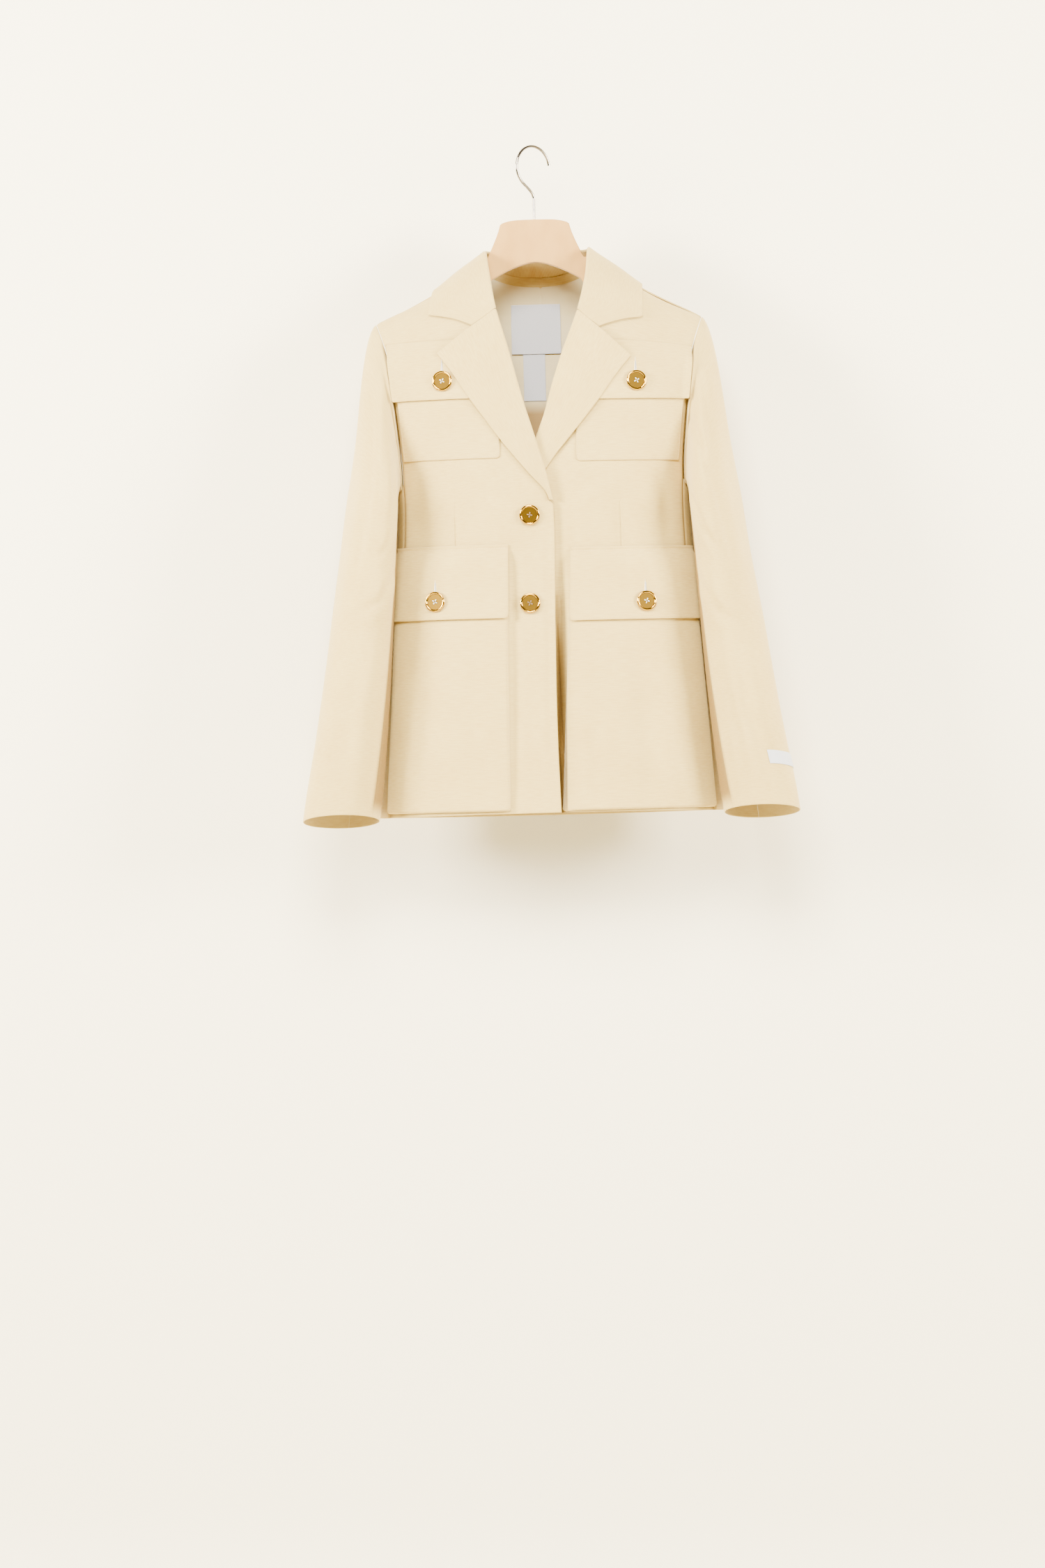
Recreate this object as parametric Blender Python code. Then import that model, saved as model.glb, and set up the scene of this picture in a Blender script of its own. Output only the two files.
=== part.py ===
"""Safari jacket hanging on a flocked hanger, modelled in its own frame.

Metres, +Z up, the front faces -Y. The origin is the inside top of the hook, where a rail bears.
The body is worked out as a ring of superellipse sections that closes onto the slope of the
shoulders. Every cut piece is a region of that form, or of a sleeve, and what lies on a panel is
made from the panel's own points, moved out.
"""

import math
from collections import namedtuple

import bmesh
import bpy
from mathutils import Matrix, Vector

# ---- cloth ----
CLOTH = 0.0016  # wall of the faced outer cloth
THIN_CLOTH = 0.0012  # patch pockets and lining
LABEL_CLOTH = 0.0010
SEAM = 0.0003  # between two pieces that are sewn edge to edge
LAY = 0.0008  # between a panel and what lies on it
FOLD_GAP = 0.0016  # inside the roll of collar and lapels

# ---- how it hangs ----
SWING = math.radians(1.5)  # the hem swings towards +X
JACKET_SHIFT = 0.0024  # the jacket sits off the hanger's middle

# ---- body form ----
SQUARENESS = 2.4  # superellipse power of a section
RISE_HEIGHT = 0.110  # below the shoulder line the form reaches its full depth
RISE_POWER = 0.6
FRONT = -1
BACK = 1
Section = namedtuple("Section", "z half_width front_depth back_depth")
SECTIONS = (
    Section(-0.080, 0.222, 0.058, 0.060),
    Section(-0.250, 0.212, 0.066, 0.064),
    Section(-0.330, 0.200, 0.071, 0.066),
    Section(-0.415, 0.184, 0.074, 0.066),
    Section(-0.500, 0.185, 0.068, 0.062),
    Section(-0.600, 0.192, 0.071, 0.070),
    Section(-0.700, 0.201, 0.077, 0.078),
    Section(-0.822, 0.213, 0.084, 0.086),
)
ShoulderPoint = namedtuple("ShoulderPoint", "x z")
SHOULDER = (
    ShoulderPoint(0.000, -0.0830),
    ShoulderPoint(0.030, -0.1000),
    ShoulderPoint(0.0625, -0.1270),
    ShoulderPoint(0.100, -0.1560),
    ShoulderPoint(0.128, -0.1765),
    ShoulderPoint(0.160, -0.1940),
    ShoulderPoint(0.184, -0.2055),
    ShoulderPoint(0.201, -0.2145),
    ShoulderPoint(0.220, -0.2250),
)
ArmholePoint = namedtuple("ArmholePoint", "z x")
ARMHOLE = (
    ArmholePoint(-0.2145, 0.2010),
    ArmholePoint(-0.2350, 0.1940),
    ArmholePoint(-0.2550, 0.1885),
    ArmholePoint(-0.3000, 0.1825),
    ArmholePoint(-0.3450, 0.1775),
    ArmholePoint(-0.3850, 0.1740),
    ArmholePoint(-0.4150, 0.1730),
)
SHOULDER_TIP_X = 0.201
SHOULDER_TIP_Z = -0.2145
UNDERARM_Z = -0.415
UNDERARM_DIP = 0.010
SIDE_SEAM_SHARE = 0.940  # of the half width, below the armhole
NECK_X = 0.0745  # where neck edge and shoulder seam meet
NECK_Z = -0.1364
BACK_NECK_DROP = 0.0186  # the back neck lies this far below that point
BACK_SEAM_X = 0.0035
HEM_Z = -0.8225
SIDE_HEM_DROP = 0.002
BACK_HEM_DROP = 0.004

# ---- the two fronts: the wearer's right front is at -X and laps over ----
RIGHT = -1
LEFT = 1
UNDER_SINK = 0.0064  # the left front lies this far behind where they lap
SINK_FROM_X = 0.045
SINK_TO_X = 0.015
SINK_FROM_Z = -0.290
SINK_TO_Z = -0.350
EDGE_STRIP = 0.006  # least width between the left front's edge and its first grid lines
GORGE_Z = -0.2040  # where collar and lapel meet at the roll
BREAK_Z = -0.4405  # where the roll ends in the front edge
EDGE_FULL_Z = -0.4440
ROLL_RADIUS = CLOTH + FOLD_GAP / 2
ROLL_STAND = 0.0030  # cloth between the roll and the panel's edge
YokeLine = namedtuple("YokeLine", "z slope")
YOKE = {RIGHT: YokeLine(-0.2375, 0.025), LEFT: YokeLine(-0.2385, 0.080)}
EdgePoint = namedtuple("EdgePoint", "z x")
ROLL = {
    RIGHT: (
        EdgePoint(-0.1270, -0.0627),
        EdgePoint(-0.1600, -0.0590),
        EdgePoint(-0.2015, -0.0526),
        EdgePoint(-0.2570, -0.0377),
        EdgePoint(-0.3150, -0.0229),
        EdgePoint(-0.3635, -0.0087),
        EdgePoint(-0.4075, 0.0039),
        EdgePoint(-0.4405, 0.0112),
    ),
    LEFT: (
        EdgePoint(-0.1270, 0.0610),
        EdgePoint(-0.1650, 0.0570),
        EdgePoint(-0.2084, 0.0460),
        EdgePoint(-0.2586, 0.0267),
        EdgePoint(-0.2970, 0.0137),
        EdgePoint(-0.3353, 0.0023),
        EdgePoint(-0.3634, -0.0087),
        EdgePoint(-0.4000, -0.0220),
        EdgePoint(-0.4405, -0.0360),
    ),
}
FRONT_EDGE = {
    RIGHT: (
        EdgePoint(-0.4440, 0.0112),
        EdgePoint(-0.4850, 0.0119),
        EdgePoint(-0.5950, 0.0100),
        EdgePoint(-0.7210, 0.0093),
        EdgePoint(-0.8225, 0.0114),
    ),
    LEFT: (
        EdgePoint(-0.4440, -0.0370),
        EdgePoint(-0.5000, -0.0460),
        EdgePoint(-0.6000, -0.0480),
        EdgePoint(-0.8225, -0.0500),
    ),
}
LAPEL_CLEAR = 0.0004
LAPEL_SEAM = 0.0007
LapelRow = namedtuple("LapelRow", "roll_z edge_x edge_z lift")
LAPEL = {
    RIGHT: (
        LapelRow(-0.2045, -0.1248, -0.2575, 0.0070),
        LapelRow(-0.2530, -0.1080, -0.2812, 0.0072),
        LapelRow(-0.2960, -0.0900, -0.3099, 0.0074),
        LapelRow(-0.3370, -0.0713, -0.3369, 0.0058),
        LapelRow(-0.3700, -0.0524, -0.3638, 0.0044),
        LapelRow(-0.4050, -0.0201, -0.4040, 0.0034),
        LapelRow(-0.4260, 0.0000, -0.4262, 0.0032),
        LapelRow(-0.4398, 0.0066, -0.4400, 0.0032),
    ),
    LEFT: (
        LapelRow(-0.2085, 0.1100, -0.2660, 0.0070),
        LapelRow(-0.2470, 0.0905, -0.2898, 0.0074),
        LapelRow(-0.2780, 0.0719, -0.3158, 0.0074),
        LapelRow(-0.3300, 0.0419, -0.3535, 0.0054),
        LapelRow(-0.3634, 0.0163, -0.3836, 0.0036),
        LapelRow(-0.3900, 0.0013, -0.4037, 0.0032),
        LapelRow(-0.4230, -0.0190, -0.4275, 0.0032),
        LapelRow(-0.4398, -0.0312, -0.4400, 0.0032),
    ),
}

# ---- collar: from one gorge round the back neck to the other ----
CollarLeaf = namedtuple("CollarLeaf", "notch_x notch_z point_x point_z")
COLLAR_LEAF = {
    RIGHT: CollarLeaf(0.0815, -0.2245, 0.1350, -0.2085),
    LEFT: CollarLeaf(0.0715, -0.2296, 0.1260, -0.2180),
}
COLLAR_POINT_AT = 1 / 12  # shares of the way from gorge to centre back
COLLAR_SHOULDER_AT = 0.50
COLLAR_RIDGE_X = 0.127  # outer edge where it crosses the shoulder
COLLAR_BACK_Z = -0.1770
COLLAR_FOLD_X = 0.0620
COLLAR_FOLD_Z = -0.1270
COLLAR_BACK_FOLD_Z = -0.1250
COLLAR_LIFT = 0.0044
COLLAR_SAG = 0.004  # its outer edge dips this far between shoulder and centre back
NOTCH_GAP = 0.0004
NECK_SEAM = 0.0007

# ---- sleeves: sections down the sleeve, of the left one ----
SleeveSection = namedtuple("SleeveSection", "z inner_x outer_x y half_depth tilt dip")
SLEEVE = (
    SleeveSection(-0.450, 0.1790, 0.2465, -0.030, 0.068, 17, 0.00),
    SleeveSection(-0.510, 0.1830, 0.2545, -0.034, 0.064, 16, 0.00),
    SleeveSection(-0.585, 0.1880, 0.2660, -0.041, 0.059, 14, 0.03),
    SleeveSection(-0.650, 0.1925, 0.2755, -0.047, 0.055, 12, 0.07),
    SleeveSection(-0.725, 0.1990, 0.2870, -0.053, 0.050, 8, 0.12),
    SleeveSection(-0.795, 0.2065, 0.3000, -0.058, 0.044, 4, 0.18),
    SleeveSection(-0.827, 0.2110, 0.3050, -0.060, 0.041, 2, 0.21),
)
SleeveSeams = namedtuple("SleeveSeams", "front back")
SLEEVE_SEAMS = {  # turns round the sleeve; 0 is its outer edge, a quarter its front
    RIGHT: SleeveSeams(0.400, 0.720),
    LEFT: SleeveSeams(0.395, 0.735),
}
SLEEVE_SEAM_HALF = 0.0007  # half the gap between top and under sleeve, in turns
TOP_COLUMNS = 17
UNDER_COLUMNS = 8
CAP_ROWS = {RIGHT: 7, LEFT: 8}
ARM_ROWS = 9
ARMHOLE_GAP = 0.0008
CAP_START = 0.30  # tangents of the cap, as shares of the way across it
CAP_END = 0.85
CAP_AWAY = Vector((0.70, 0.62, 0.42))  # the way the cap leaves the armhole
CAP_LEAST_DROP = -0.2
ARMHOLE_CENTRE_X = 0.19

# ---- pockets, flaps and labels: x is measured to the outside of each front ----
Patch = namedtuple("Patch", "inner_top inner_bottom outer_top outer_bottom top bottom")
CHEST_POCKET = {
    RIGHT: Patch(-0.0524, -0.0524, -0.1790, -0.1690, -0.2680, -0.3875),
    LEFT: Patch(0.0420, 0.0410, 0.1780, 0.1660, -0.2740, -0.3935),
}
CHEST_FLAP = {
    RIGHT: Patch(-0.0820, -0.0830, -0.1870, -0.1775, 0.0, -0.3140),
    LEFT: Patch(0.0640, 0.0660, 0.1860, 0.1765, 0.0, -0.3185),
}
LOWER_POCKET = {
    RIGHT: Patch(-0.0465, -0.0500, -0.1780, -0.1980, -0.5120, -0.8195),
    LEFT: Patch(0.0310, 0.0134, 0.1780, 0.1980, -0.5160, -0.8205),
}
LOWER_FLAP = {
    RIGHT: Patch(-0.0450, -0.0465, -0.1790, -0.1850, -0.4930, -0.5840),
    LEFT: Patch(0.0305, 0.0275, 0.1790, 0.1850, -0.4985, -0.5890),
}
PATCH_SIDE_LIFT = 0.0010  # a patch stands off more where it turns round the side
PATCH_TURN_FROM = 0.6  # share of its width from which it does
PATCH_SPREAD = 0.85  # how strongly its grid lines draw together there
FLAP_HINGE = 0.014  # a flap rises onto its pocket within this height

BUTTON_RADIUS = 0.0125
BUTTON_RIM = 0.0020
BUTTON_THICKNESS = 0.0036
BUTTON_WELL = 0.0024
BUTTON_CLEAR = 0.0006
BUTTON_WELL_SLOPE = 0.0012
BUTTON_EDGE = 0.0006  # chamfer of the rim's outside
BUTTON_FOOT = 0.0015
BUTTON_SIDES = 18
ButtonPlace = namedtuple("ButtonPlace", "name side carrier x z")
BUTTONS = (
    ButtonPlace("button_chest_right", RIGHT, "chest_flap", -0.1195, -0.2915),
    ButtonPlace("button_chest_left", LEFT, "chest_flap", 0.1157, -0.2965),
    ButtonPlace("button_front_upper", RIGHT, "front", -0.0181, -0.4576),
    ButtonPlace("button_front_lower", RIGHT, "front", -0.0201, -0.5658),
    ButtonPlace("button_pocket_right", RIGHT, "lower_flap", -0.1326, -0.5617),
    ButtonPlace("button_pocket_left", LEFT, "lower_flap", 0.1194, -0.5669),
)

# ---- inside the neck ----
NECK_LABEL_SIZE = 0.062
NECK_LABEL_TOP_Z = -0.1880
NECK_LABEL_X = -0.0036
SIZE_LABEL_WIDTH = 0.0275
SIZE_LABEL_X = -0.0068
SIZE_LABEL_TOP_Z = -0.2300
SIZE_LABEL_BOTTOM_Z = -0.3085

# ---- label on the left sleeve ----
SLEEVE_LABEL_TOP_Z = -0.7590
SLEEVE_LABEL_HEIGHT = 0.0170
SLEEVE_LABEL_FROM = 64.0  # degrees round the sleeve from its outer edge towards the front
SLEEVE_LABEL_TO = -12.0

# ---- hanger ----
HANGER_THICKNESS = 0.0080
HANGER_ROUNDING = 0.0024
HANGER_TOP_Z = -0.0890
HANGER_CORNER_X = 0.0425
HANGER_CORNER_Z = -0.0940
HANGER_NECK_X = 0.0600
HANGER_NECK_Z = -0.1365
HANGER_ARM_END_X = 0.1880
HANGER_UNDER_CLOTH = 0.0038  # its upper edge, below the shoulder line
HANGER_UNDER_COLLAR = 0.0075
HANGER_EASE = 0.012  # width over which it goes from one to the other
HANGER_ARCH_Z = -0.1420
HANGER_ARCH_END_X = 0.0560
HANGER_ARCH_END_Z = -0.1635
HANGER_TIP_HEIGHT = 0.0140
HOOK_WIRE = 0.0035
HOOK_RADIUS = 0.0262
HOOK_SWIVEL = math.radians(40)
HOOK_TIP_ANGLE = 8.0
HOOK_TURN_ANGLE = 232.0
HOOK_STEM_TOP_Z = -0.0640

# ---- grid lines ----
YOKE_COLUMNS = 8
YOKE_ROWS = 6
FRONT_LEVELS = (SINK_FROM_Z, -0.320, SINK_TO_Z, -0.383, UNDERARM_Z)
LOWER_LEVELS = (BREAK_Z, EDGE_FULL_Z, -0.490, -0.540, -0.590, -0.640, -0.690, -0.740, -0.785)
NECK_COLUMNS = 6  # of a half back, from its middle to where neck and shoulder meet
BACK_COLUMNS = 11
BACK_DROPS = (0.0, 0.003, 0.0115, 0.026, 0.046, 0.074, 0.115, 0.160)
BAND_ROW = 2  # the facing band of the back neck ends at this row
BAND_INSET = 0.06  # of a row, from the neck seam
BAND_SIDE_INSET = 0.4  # of a column, from the shoulder seam
LINING_INSET = 0.03

COLOURS = {
    "cloth": ((0.855, 0.757, 0.617), 0.85, 0.0),
    "lining": ((0.888, 0.847, 0.723), 0.45, 0.0),
    "label": ((0.791, 0.791, 0.830), 0.60, 0.0),
    "gold": ((0.558, 0.323, 0.060), 0.28, 1.0),
    "flock": ((0.879, 0.716, 0.539), 0.95, 0.0),
    "steel": ((0.62, 0.62, 0.63), 0.18, 1.0),
}


# ---------------------------------------------------------------- small tools


def smooth(rows):
    """A smooth function through the (at, value) pairs of a short table, level past its ends."""
    ordered = sorted(rows)
    ats = [row[0] for row in ordered]
    values = [row[1] for row in ordered]
    last = len(ats) - 1
    slopes = []
    for i in range(last + 1):
        low = max(i - 1, 0)
        high = min(i + 1, last)
        slopes.append((values[high] - values[low]) / (ats[high] - ats[low]))

    def value(at):
        if at <= ats[0]:
            return values[0]
        if at >= ats[last]:
            return values[last]
        i = max(k for k in range(last) if ats[k] <= at)
        step = ats[i + 1] - ats[i]
        t = (at - ats[i]) / step
        rise_in = slopes[i] * step
        rise_out = slopes[i + 1] * step
        return (
            (2 * t**3 - 3 * t**2 + 1) * values[i]
            + (t**3 - 2 * t**2 + t) * rise_in
            + (3 * t**2 - 2 * t**3) * values[i + 1]
            + (t**3 - t**2) * rise_out
        )

    return value


def lerp(low, high, share):
    return low + (high - low) * share


def clamped(value):
    return min(max(value, 0.0), 1.0)


def smoothstep(value):
    value = clamped(value)
    return value * value * (3 - 2 * value)


def spread(share, strength=0.8):
    """Evenly spaced shares, drawn together towards 1, where the form turns round the side."""
    quarter = math.pi / 2 * strength
    return math.sin(share * quarter) / math.sin(quarter)


def table(rows, at, value):
    return smooth([(getattr(row, at), getattr(row, value)) for row in rows])


# ---------------------------------------------------------------- body form

half_width = table(SECTIONS, "z", "half_width")
front_depth = table(SECTIONS, "z", "front_depth")
back_depth = table(SECTIONS, "z", "back_depth")
shoulder_height = table(SHOULDER, "x", "z")
armhole_x = table(ARMHOLE, "z", "x")


def shoulder_z(x):
    return shoulder_height(abs(x))


def rise(drop):
    share = min(max(drop, 0.0) / RISE_HEIGHT, 1.0)
    return (share * (2 - share)) ** RISE_POWER


def full_depth(x, z, face):
    depth = front_depth(z) if face == FRONT else back_depth(z)
    return depth * rise(shoulder_z(x) - z)


def reach(across):
    """How much of its depth a section keeps at this share of its half width."""
    return (1 - min(abs(across), 1.0) ** SQUARENESS) ** (1 / SQUARENESS)


def form_point(x, z, face):
    return Vector((x, face * full_depth(x, z, face) * reach(x / half_width(z)), z))


def form_normal(point, face):
    """Outward direction of the form, from the slope of its implicit function."""
    step = 1e-5
    if shoulder_z(point.x) - point.z < 4 * step:
        slope = (shoulder_z(point.x + step) - shoulder_z(point.x - step)) / (2 * step)
        return Vector((-slope, 0.0, 1.0)).normalized()

    def level(x, y, z):
        deep = full_depth(x, z, face)
        return (abs(x) / half_width(z)) ** SQUARENESS + (abs(y) / deep) ** SQUARENESS

    x, y, z = point
    return Vector(
        (
            level(x + step, y, z) - level(x - step, y, z),
            level(x, y + step, z) - level(x, y - step, z),
            level(x, y, z + step) - level(x, y, z - step),
        )
    ).normalized()


def on_body(x, z, face, out=0.0):
    """A point of the front or the back, moved out from the form."""
    z = min(z, shoulder_z(x))
    point = form_point(x, z, face)
    point += form_normal(point, face) * out
    point.y += face * SEAM / 2
    return point


def under_sink(side, x, z):
    """How far the left front lies behind the form, where the right one laps over it."""
    if side == RIGHT:
        return 0.0
    across = clamped((SINK_FROM_X - x) / (SINK_FROM_X - SINK_TO_X))
    return UNDER_SINK * across * clamped((SINK_FROM_Z - z) / (SINK_FROM_Z - SINK_TO_Z))


def on_front(side, x, z, out=0.0):
    return on_body(x, z, FRONT, out - under_sink(side, x, z))


def on_ring(x, y, z, out):
    """A point of the side of a section, given its place across the depth."""
    face = FRONT if y < 0 else BACK
    depth = front_depth(z) if face == FRONT else back_depth(z)
    across = (1 - min(abs(y) / depth, 1.0) ** SQUARENESS) ** (1 / SQUARENESS)
    point = Vector((math.copysign(half_width(z) * across, x), y, z))
    return point + form_normal(point, face) * out


def outer_x(z):
    """Armhole, then side seam."""
    if z >= UNDERARM_Z:
        return armhole_x(z)
    return SIDE_SEAM_SHARE * half_width(z)


def seam_y(z, face):
    depth = front_depth(z) if face == FRONT else back_depth(z)
    return face * depth * reach(outer_x(z) / half_width(z))


def hem_z(x, face):
    share = (abs(x) / half_width(HEM_Z)) ** 2
    if face == FRONT:
        return HEM_Z - SIDE_HEM_DROP * share
    return HEM_Z - lerp(BACK_HEM_DROP, SIDE_HEM_DROP, share)


# ---------------------------------------------------------------- making solids


def material(name):
    existing = bpy.data.materials.get(name)
    if existing:
        return existing
    colour, roughness, metallic = COLOURS[name]
    made = bpy.data.materials.new(name)
    made.use_nodes = True
    shader = made.node_tree.nodes["Principled BSDF"]
    shader.inputs["Base Color"].default_value = (*colour, 1.0)
    shader.inputs["Roughness"].default_value = roughness
    shader.inputs["Metallic"].default_value = metallic
    made.diffuse_color = (*colour, 1.0)
    return made


def finish(bm, name, material_name, on_jacket=True):
    """Hangs the finished mesh as the photo shows and makes it an object."""
    if on_jacket:
        bmesh.ops.translate(bm, vec=(JACKET_SHIFT, 0, 0), verts=bm.verts)
    swing = Matrix.Rotation(-SWING, 3, "Y")
    bmesh.ops.rotate(bm, cent=(0, 0, 0), matrix=swing, verts=bm.verts)
    bmesh.ops.recalc_face_normals(bm, faces=bm.faces)
    mesh = bpy.data.meshes.new(name)
    bm.to_mesh(mesh)
    bm.free()
    mesh.materials.append(material(material_name))
    mesh.shade_smooth()
    mesh.set_sharp_from_angle(angle=math.radians(40))
    made = bpy.data.objects.new(name, mesh)
    bpy.context.scene.collection.objects.link(made)
    return made


def thicken(bm, outer, inner, place):
    """Doubles an open sheet into a wall: place turns a vertex's flat spot into (u, v)."""
    doubled = bmesh.ops.extrude_face_region(bm, geom=bm.faces[:])
    hidden = {g for g in doubled["geom"] if isinstance(g, bmesh.types.BMVert)}
    for vert in bm.verts:
        u, v = place(vert.co)
        vert.co = inner(u, v) if vert in hidden else outer(u, v)


def sheet(name, columns, rows, outer, inner, material_name="cloth"):
    """A wall between two faces, each a function of (u, v) from 0 to 1."""
    bm = bmesh.new()
    bmesh.ops.create_grid(bm, x_segments=columns, y_segments=rows, size=0.5)
    thicken(bm, outer, inner, lambda co: (co.x + 0.5, co.y + 0.5))
    return finish(bm, name, material_name)


# ---------------------------------------------------------------- fronts


roll_x = {side: table(ROLL[side], "z", "x") for side in (RIGHT, LEFT)}
edge_x = {side: table(FRONT_EDGE[side], "z", "x") for side in (RIGHT, LEFT)}


def front_inner_x(side, z):
    """The panel's own edge: neck, then just behind the roll, then the front edge."""
    behind_roll = roll_x[side](z) + side * (ROLL_RADIUS + ROLL_STAND)
    if z > GORGE_Z:
        share = smoothstep((z - GORGE_Z) / (NECK_Z - GORGE_Z))
        return lerp(behind_roll, side * NECK_X, share)
    share = min(max((BREAK_Z - z) / (BREAK_Z - EDGE_FULL_Z), 0.0), 1.0)
    return lerp(behind_roll, edge_x[side](z), share)


def yoke_z(side, x):
    return YOKE[side].z - YOKE[side].slope * abs(x)


def yoke(side, name):
    def place(u, v, out):
        share = spread(u)
        start = shoulder_z(lerp(NECK_X, SHOULDER_TIP_X, share))
        at_seam = lerp(front_inner_x(side, YOKE[side].z), side * outer_x(YOKE[side].z), share)
        z = lerp(start, yoke_z(side, at_seam) + SEAM / 2, (1 - v) ** 1.8)
        x = lerp(front_inner_x(side, z), side * outer_x(z), share)
        return on_body(x, z, FRONT, out)

    return sheet(
        name,
        YOKE_COLUMNS,
        YOKE_ROWS,
        lambda u, v: place(u, v, 0.0),
        lambda u, v: place(u, v, -CLOTH),
    )


def stepped(levels, share):
    """The level at this share of the way through a list of evenly used levels."""
    place = share * (len(levels) - 1)
    low = min(int(place + 1e-6), len(levels) - 2)
    return lerp(levels[low], levels[low + 1], place - low)


def front_columns(side):
    """Grid lines of a front: how each one places its x between the panel's two edges."""
    spaced = [spread(k / 9) for k in range(10)]
    if side == RIGHT:
        return [lambda inner, outer, k=k: lerp(inner, outer, k) for k in spaced]
    lines = [lambda inner, outer: inner]
    for line in (SINK_TO_X, SINK_FROM_X):
        lines.append(lambda inner, outer, line=line: max(line, inner + EDGE_STRIP * line / SINK_TO_X))
    for k in range(1, 9):
        share = spread(k / 8)
        lines.append(
            lambda inner, outer, k=share: lerp(
                max(SINK_FROM_X, inner + EDGE_STRIP * SINK_FROM_X / SINK_TO_X), outer, k
            )
        )
    return lines


def front(side, name):
    lines = front_columns(side)
    columns = len(lines) - 1
    rows = len(FRONT_LEVELS) + len(LOWER_LEVELS) + 1

    def place(u, v, out):
        line = lines[round(u * columns)]
        at_seam = line(front_inner_x(side, YOKE[side].z), side * outer_x(YOKE[side].z))
        at_hem = line(front_inner_x(side, HEM_Z), side * outer_x(HEM_Z))
        top = yoke_z(side, at_seam) - SEAM / 2
        levels = [top, *FRONT_LEVELS, *LOWER_LEVELS, hem_z(at_hem, FRONT)]
        z = stepped(levels, 1 - v)
        outer = outer_x(z) - SEAM / 2
        x = line(front_inner_x(side, z), side * outer)
        return on_front(side, x, z, out)

    return sheet(
        name,
        columns,
        rows,
        lambda u, v: place(u, v, 0.0),
        lambda u, v: place(u, v, -CLOTH),
    )


# ---------------------------------------------------------------- back and sides


def back_top_z(x):
    """Neckline near the middle, then the shoulder seam."""
    if abs(x) >= NECK_X:
        return shoulder_z(x)
    share = abs(x) / NECK_X
    return NECK_Z - BACK_NECK_DROP * (1 - share**2.2)


def back_share(column):
    """Where a grid line stands on a half back; the neck's own lines turn evenly round it."""
    neck_share = NECK_X / SHOULDER_TIP_X
    if column <= NECK_COLUMNS:
        return neck_share * math.sin(math.pi / 2 * column / NECK_COLUMNS)
    beyond = (column - NECK_COLUMNS) / (BACK_COLUMNS - NECK_COLUMNS)
    return lerp(neck_share, 1.0, spread(beyond))


def back_spot(side, column, row, out):
    """The back at a grid line and a row, counted from the middle and from the top."""
    share = back_share(column)
    top = back_top_z(SHOULDER_TIP_X * share)
    levels = [top - drop for drop in BACK_DROPS]
    levels += [UNDERARM_Z, *LOWER_LEVELS, hem_z(SHOULDER_TIP_X * share, BACK)]
    z = stepped(levels, row / (len(levels) - 1))
    x = lerp(BACK_SEAM_X + side * SEAM / 2, side * (outer_x(z) - SEAM / 2), share)
    return on_body(x, z, BACK, out)


def back_neck(side, column):
    """Where the neckline crosses a grid line of the back."""
    spot = back_spot(side, column, 0, 0.0)
    return spot.x, spot.z


BACK_ROWS = len(BACK_DROPS) + len(LOWER_LEVELS) + 1


def back(side, name):
    def place(u, v, out):
        return back_spot(side, u * BACK_COLUMNS, (1 - v) * BACK_ROWS, out)

    return sheet(
        name,
        BACK_COLUMNS,
        BACK_ROWS,
        lambda u, v: place(u, v, 0.0),
        lambda u, v: place(u, v, -CLOTH),
    )


def underarm_z(y):
    """Top edge of the side panel, between the two side seams."""
    half = (seam_y(UNDERARM_Z, BACK) - seam_y(UNDERARM_Z, FRONT)) / 2
    middle = (seam_y(UNDERARM_Z, BACK) + seam_y(UNDERARM_Z, FRONT)) / 2
    return UNDERARM_Z - UNDERARM_DIP * (1 - ((y - middle) / half) ** 2)


def side_panel(side, name):
    def place(u, v, out):
        top = underarm_z(lerp(seam_y(UNDERARM_Z, FRONT), seam_y(UNDERARM_Z, BACK), u))
        hem = HEM_Z - SIDE_HEM_DROP
        z = stepped([top] + list(LOWER_LEVELS) + [hem], 1 - v)
        y = lerp(seam_y(z, FRONT) + SEAM / 2, seam_y(z, BACK) - SEAM / 2, u)
        return on_ring(side, y, z, out)

    return sheet(
        name,
        6,
        len(LOWER_LEVELS) + 1,
        lambda u, v: place(u, v, 0.0),
        lambda u, v: place(u, v, -CLOTH),
    )


# ---------------------------------------------------------------- sleeves

sleeve_tables = {
    column: table(SLEEVE, "z", column)
    for column in ("inner_x", "outer_x", "y", "half_depth", "tilt", "dip")
}


def armhole_loop(side, samples=160):
    """The armhole as points from the shoulder down its front, round and up its back."""
    points = []
    for i in range(samples):
        z = lerp(SHOULDER_TIP_Z, UNDERARM_Z, i / samples)
        points.append(on_body(side * armhole_x(z), z, FRONT))
    low, high = seam_y(UNDERARM_Z, FRONT), seam_y(UNDERARM_Z, BACK)
    for i in range(samples // 3):
        y = lerp(low, high, i / (samples // 3))
        points.append(on_ring(side, y, underarm_z(y), 0.0))
    for i in range(samples + 1):
        z = lerp(UNDERARM_Z, SHOULDER_TIP_Z, i / samples)
        points.append(on_body(side * armhole_x(z), z, BACK))
    return points


def resampled(points, share):
    """The point at this share of the length of a closed run of points."""
    lengths = [0.0]
    for before, after in zip(points, points[1:]):
        lengths.append(lengths[-1] + (after - before).length)
    target = (share % 1.0) * lengths[-1]
    i = max(k for k in range(len(points) - 1) if lengths[k] <= target)
    step = lengths[i + 1] - lengths[i]
    return points[i].lerp(points[i + 1], (target - lengths[i]) / step if step else 0.0)


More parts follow.
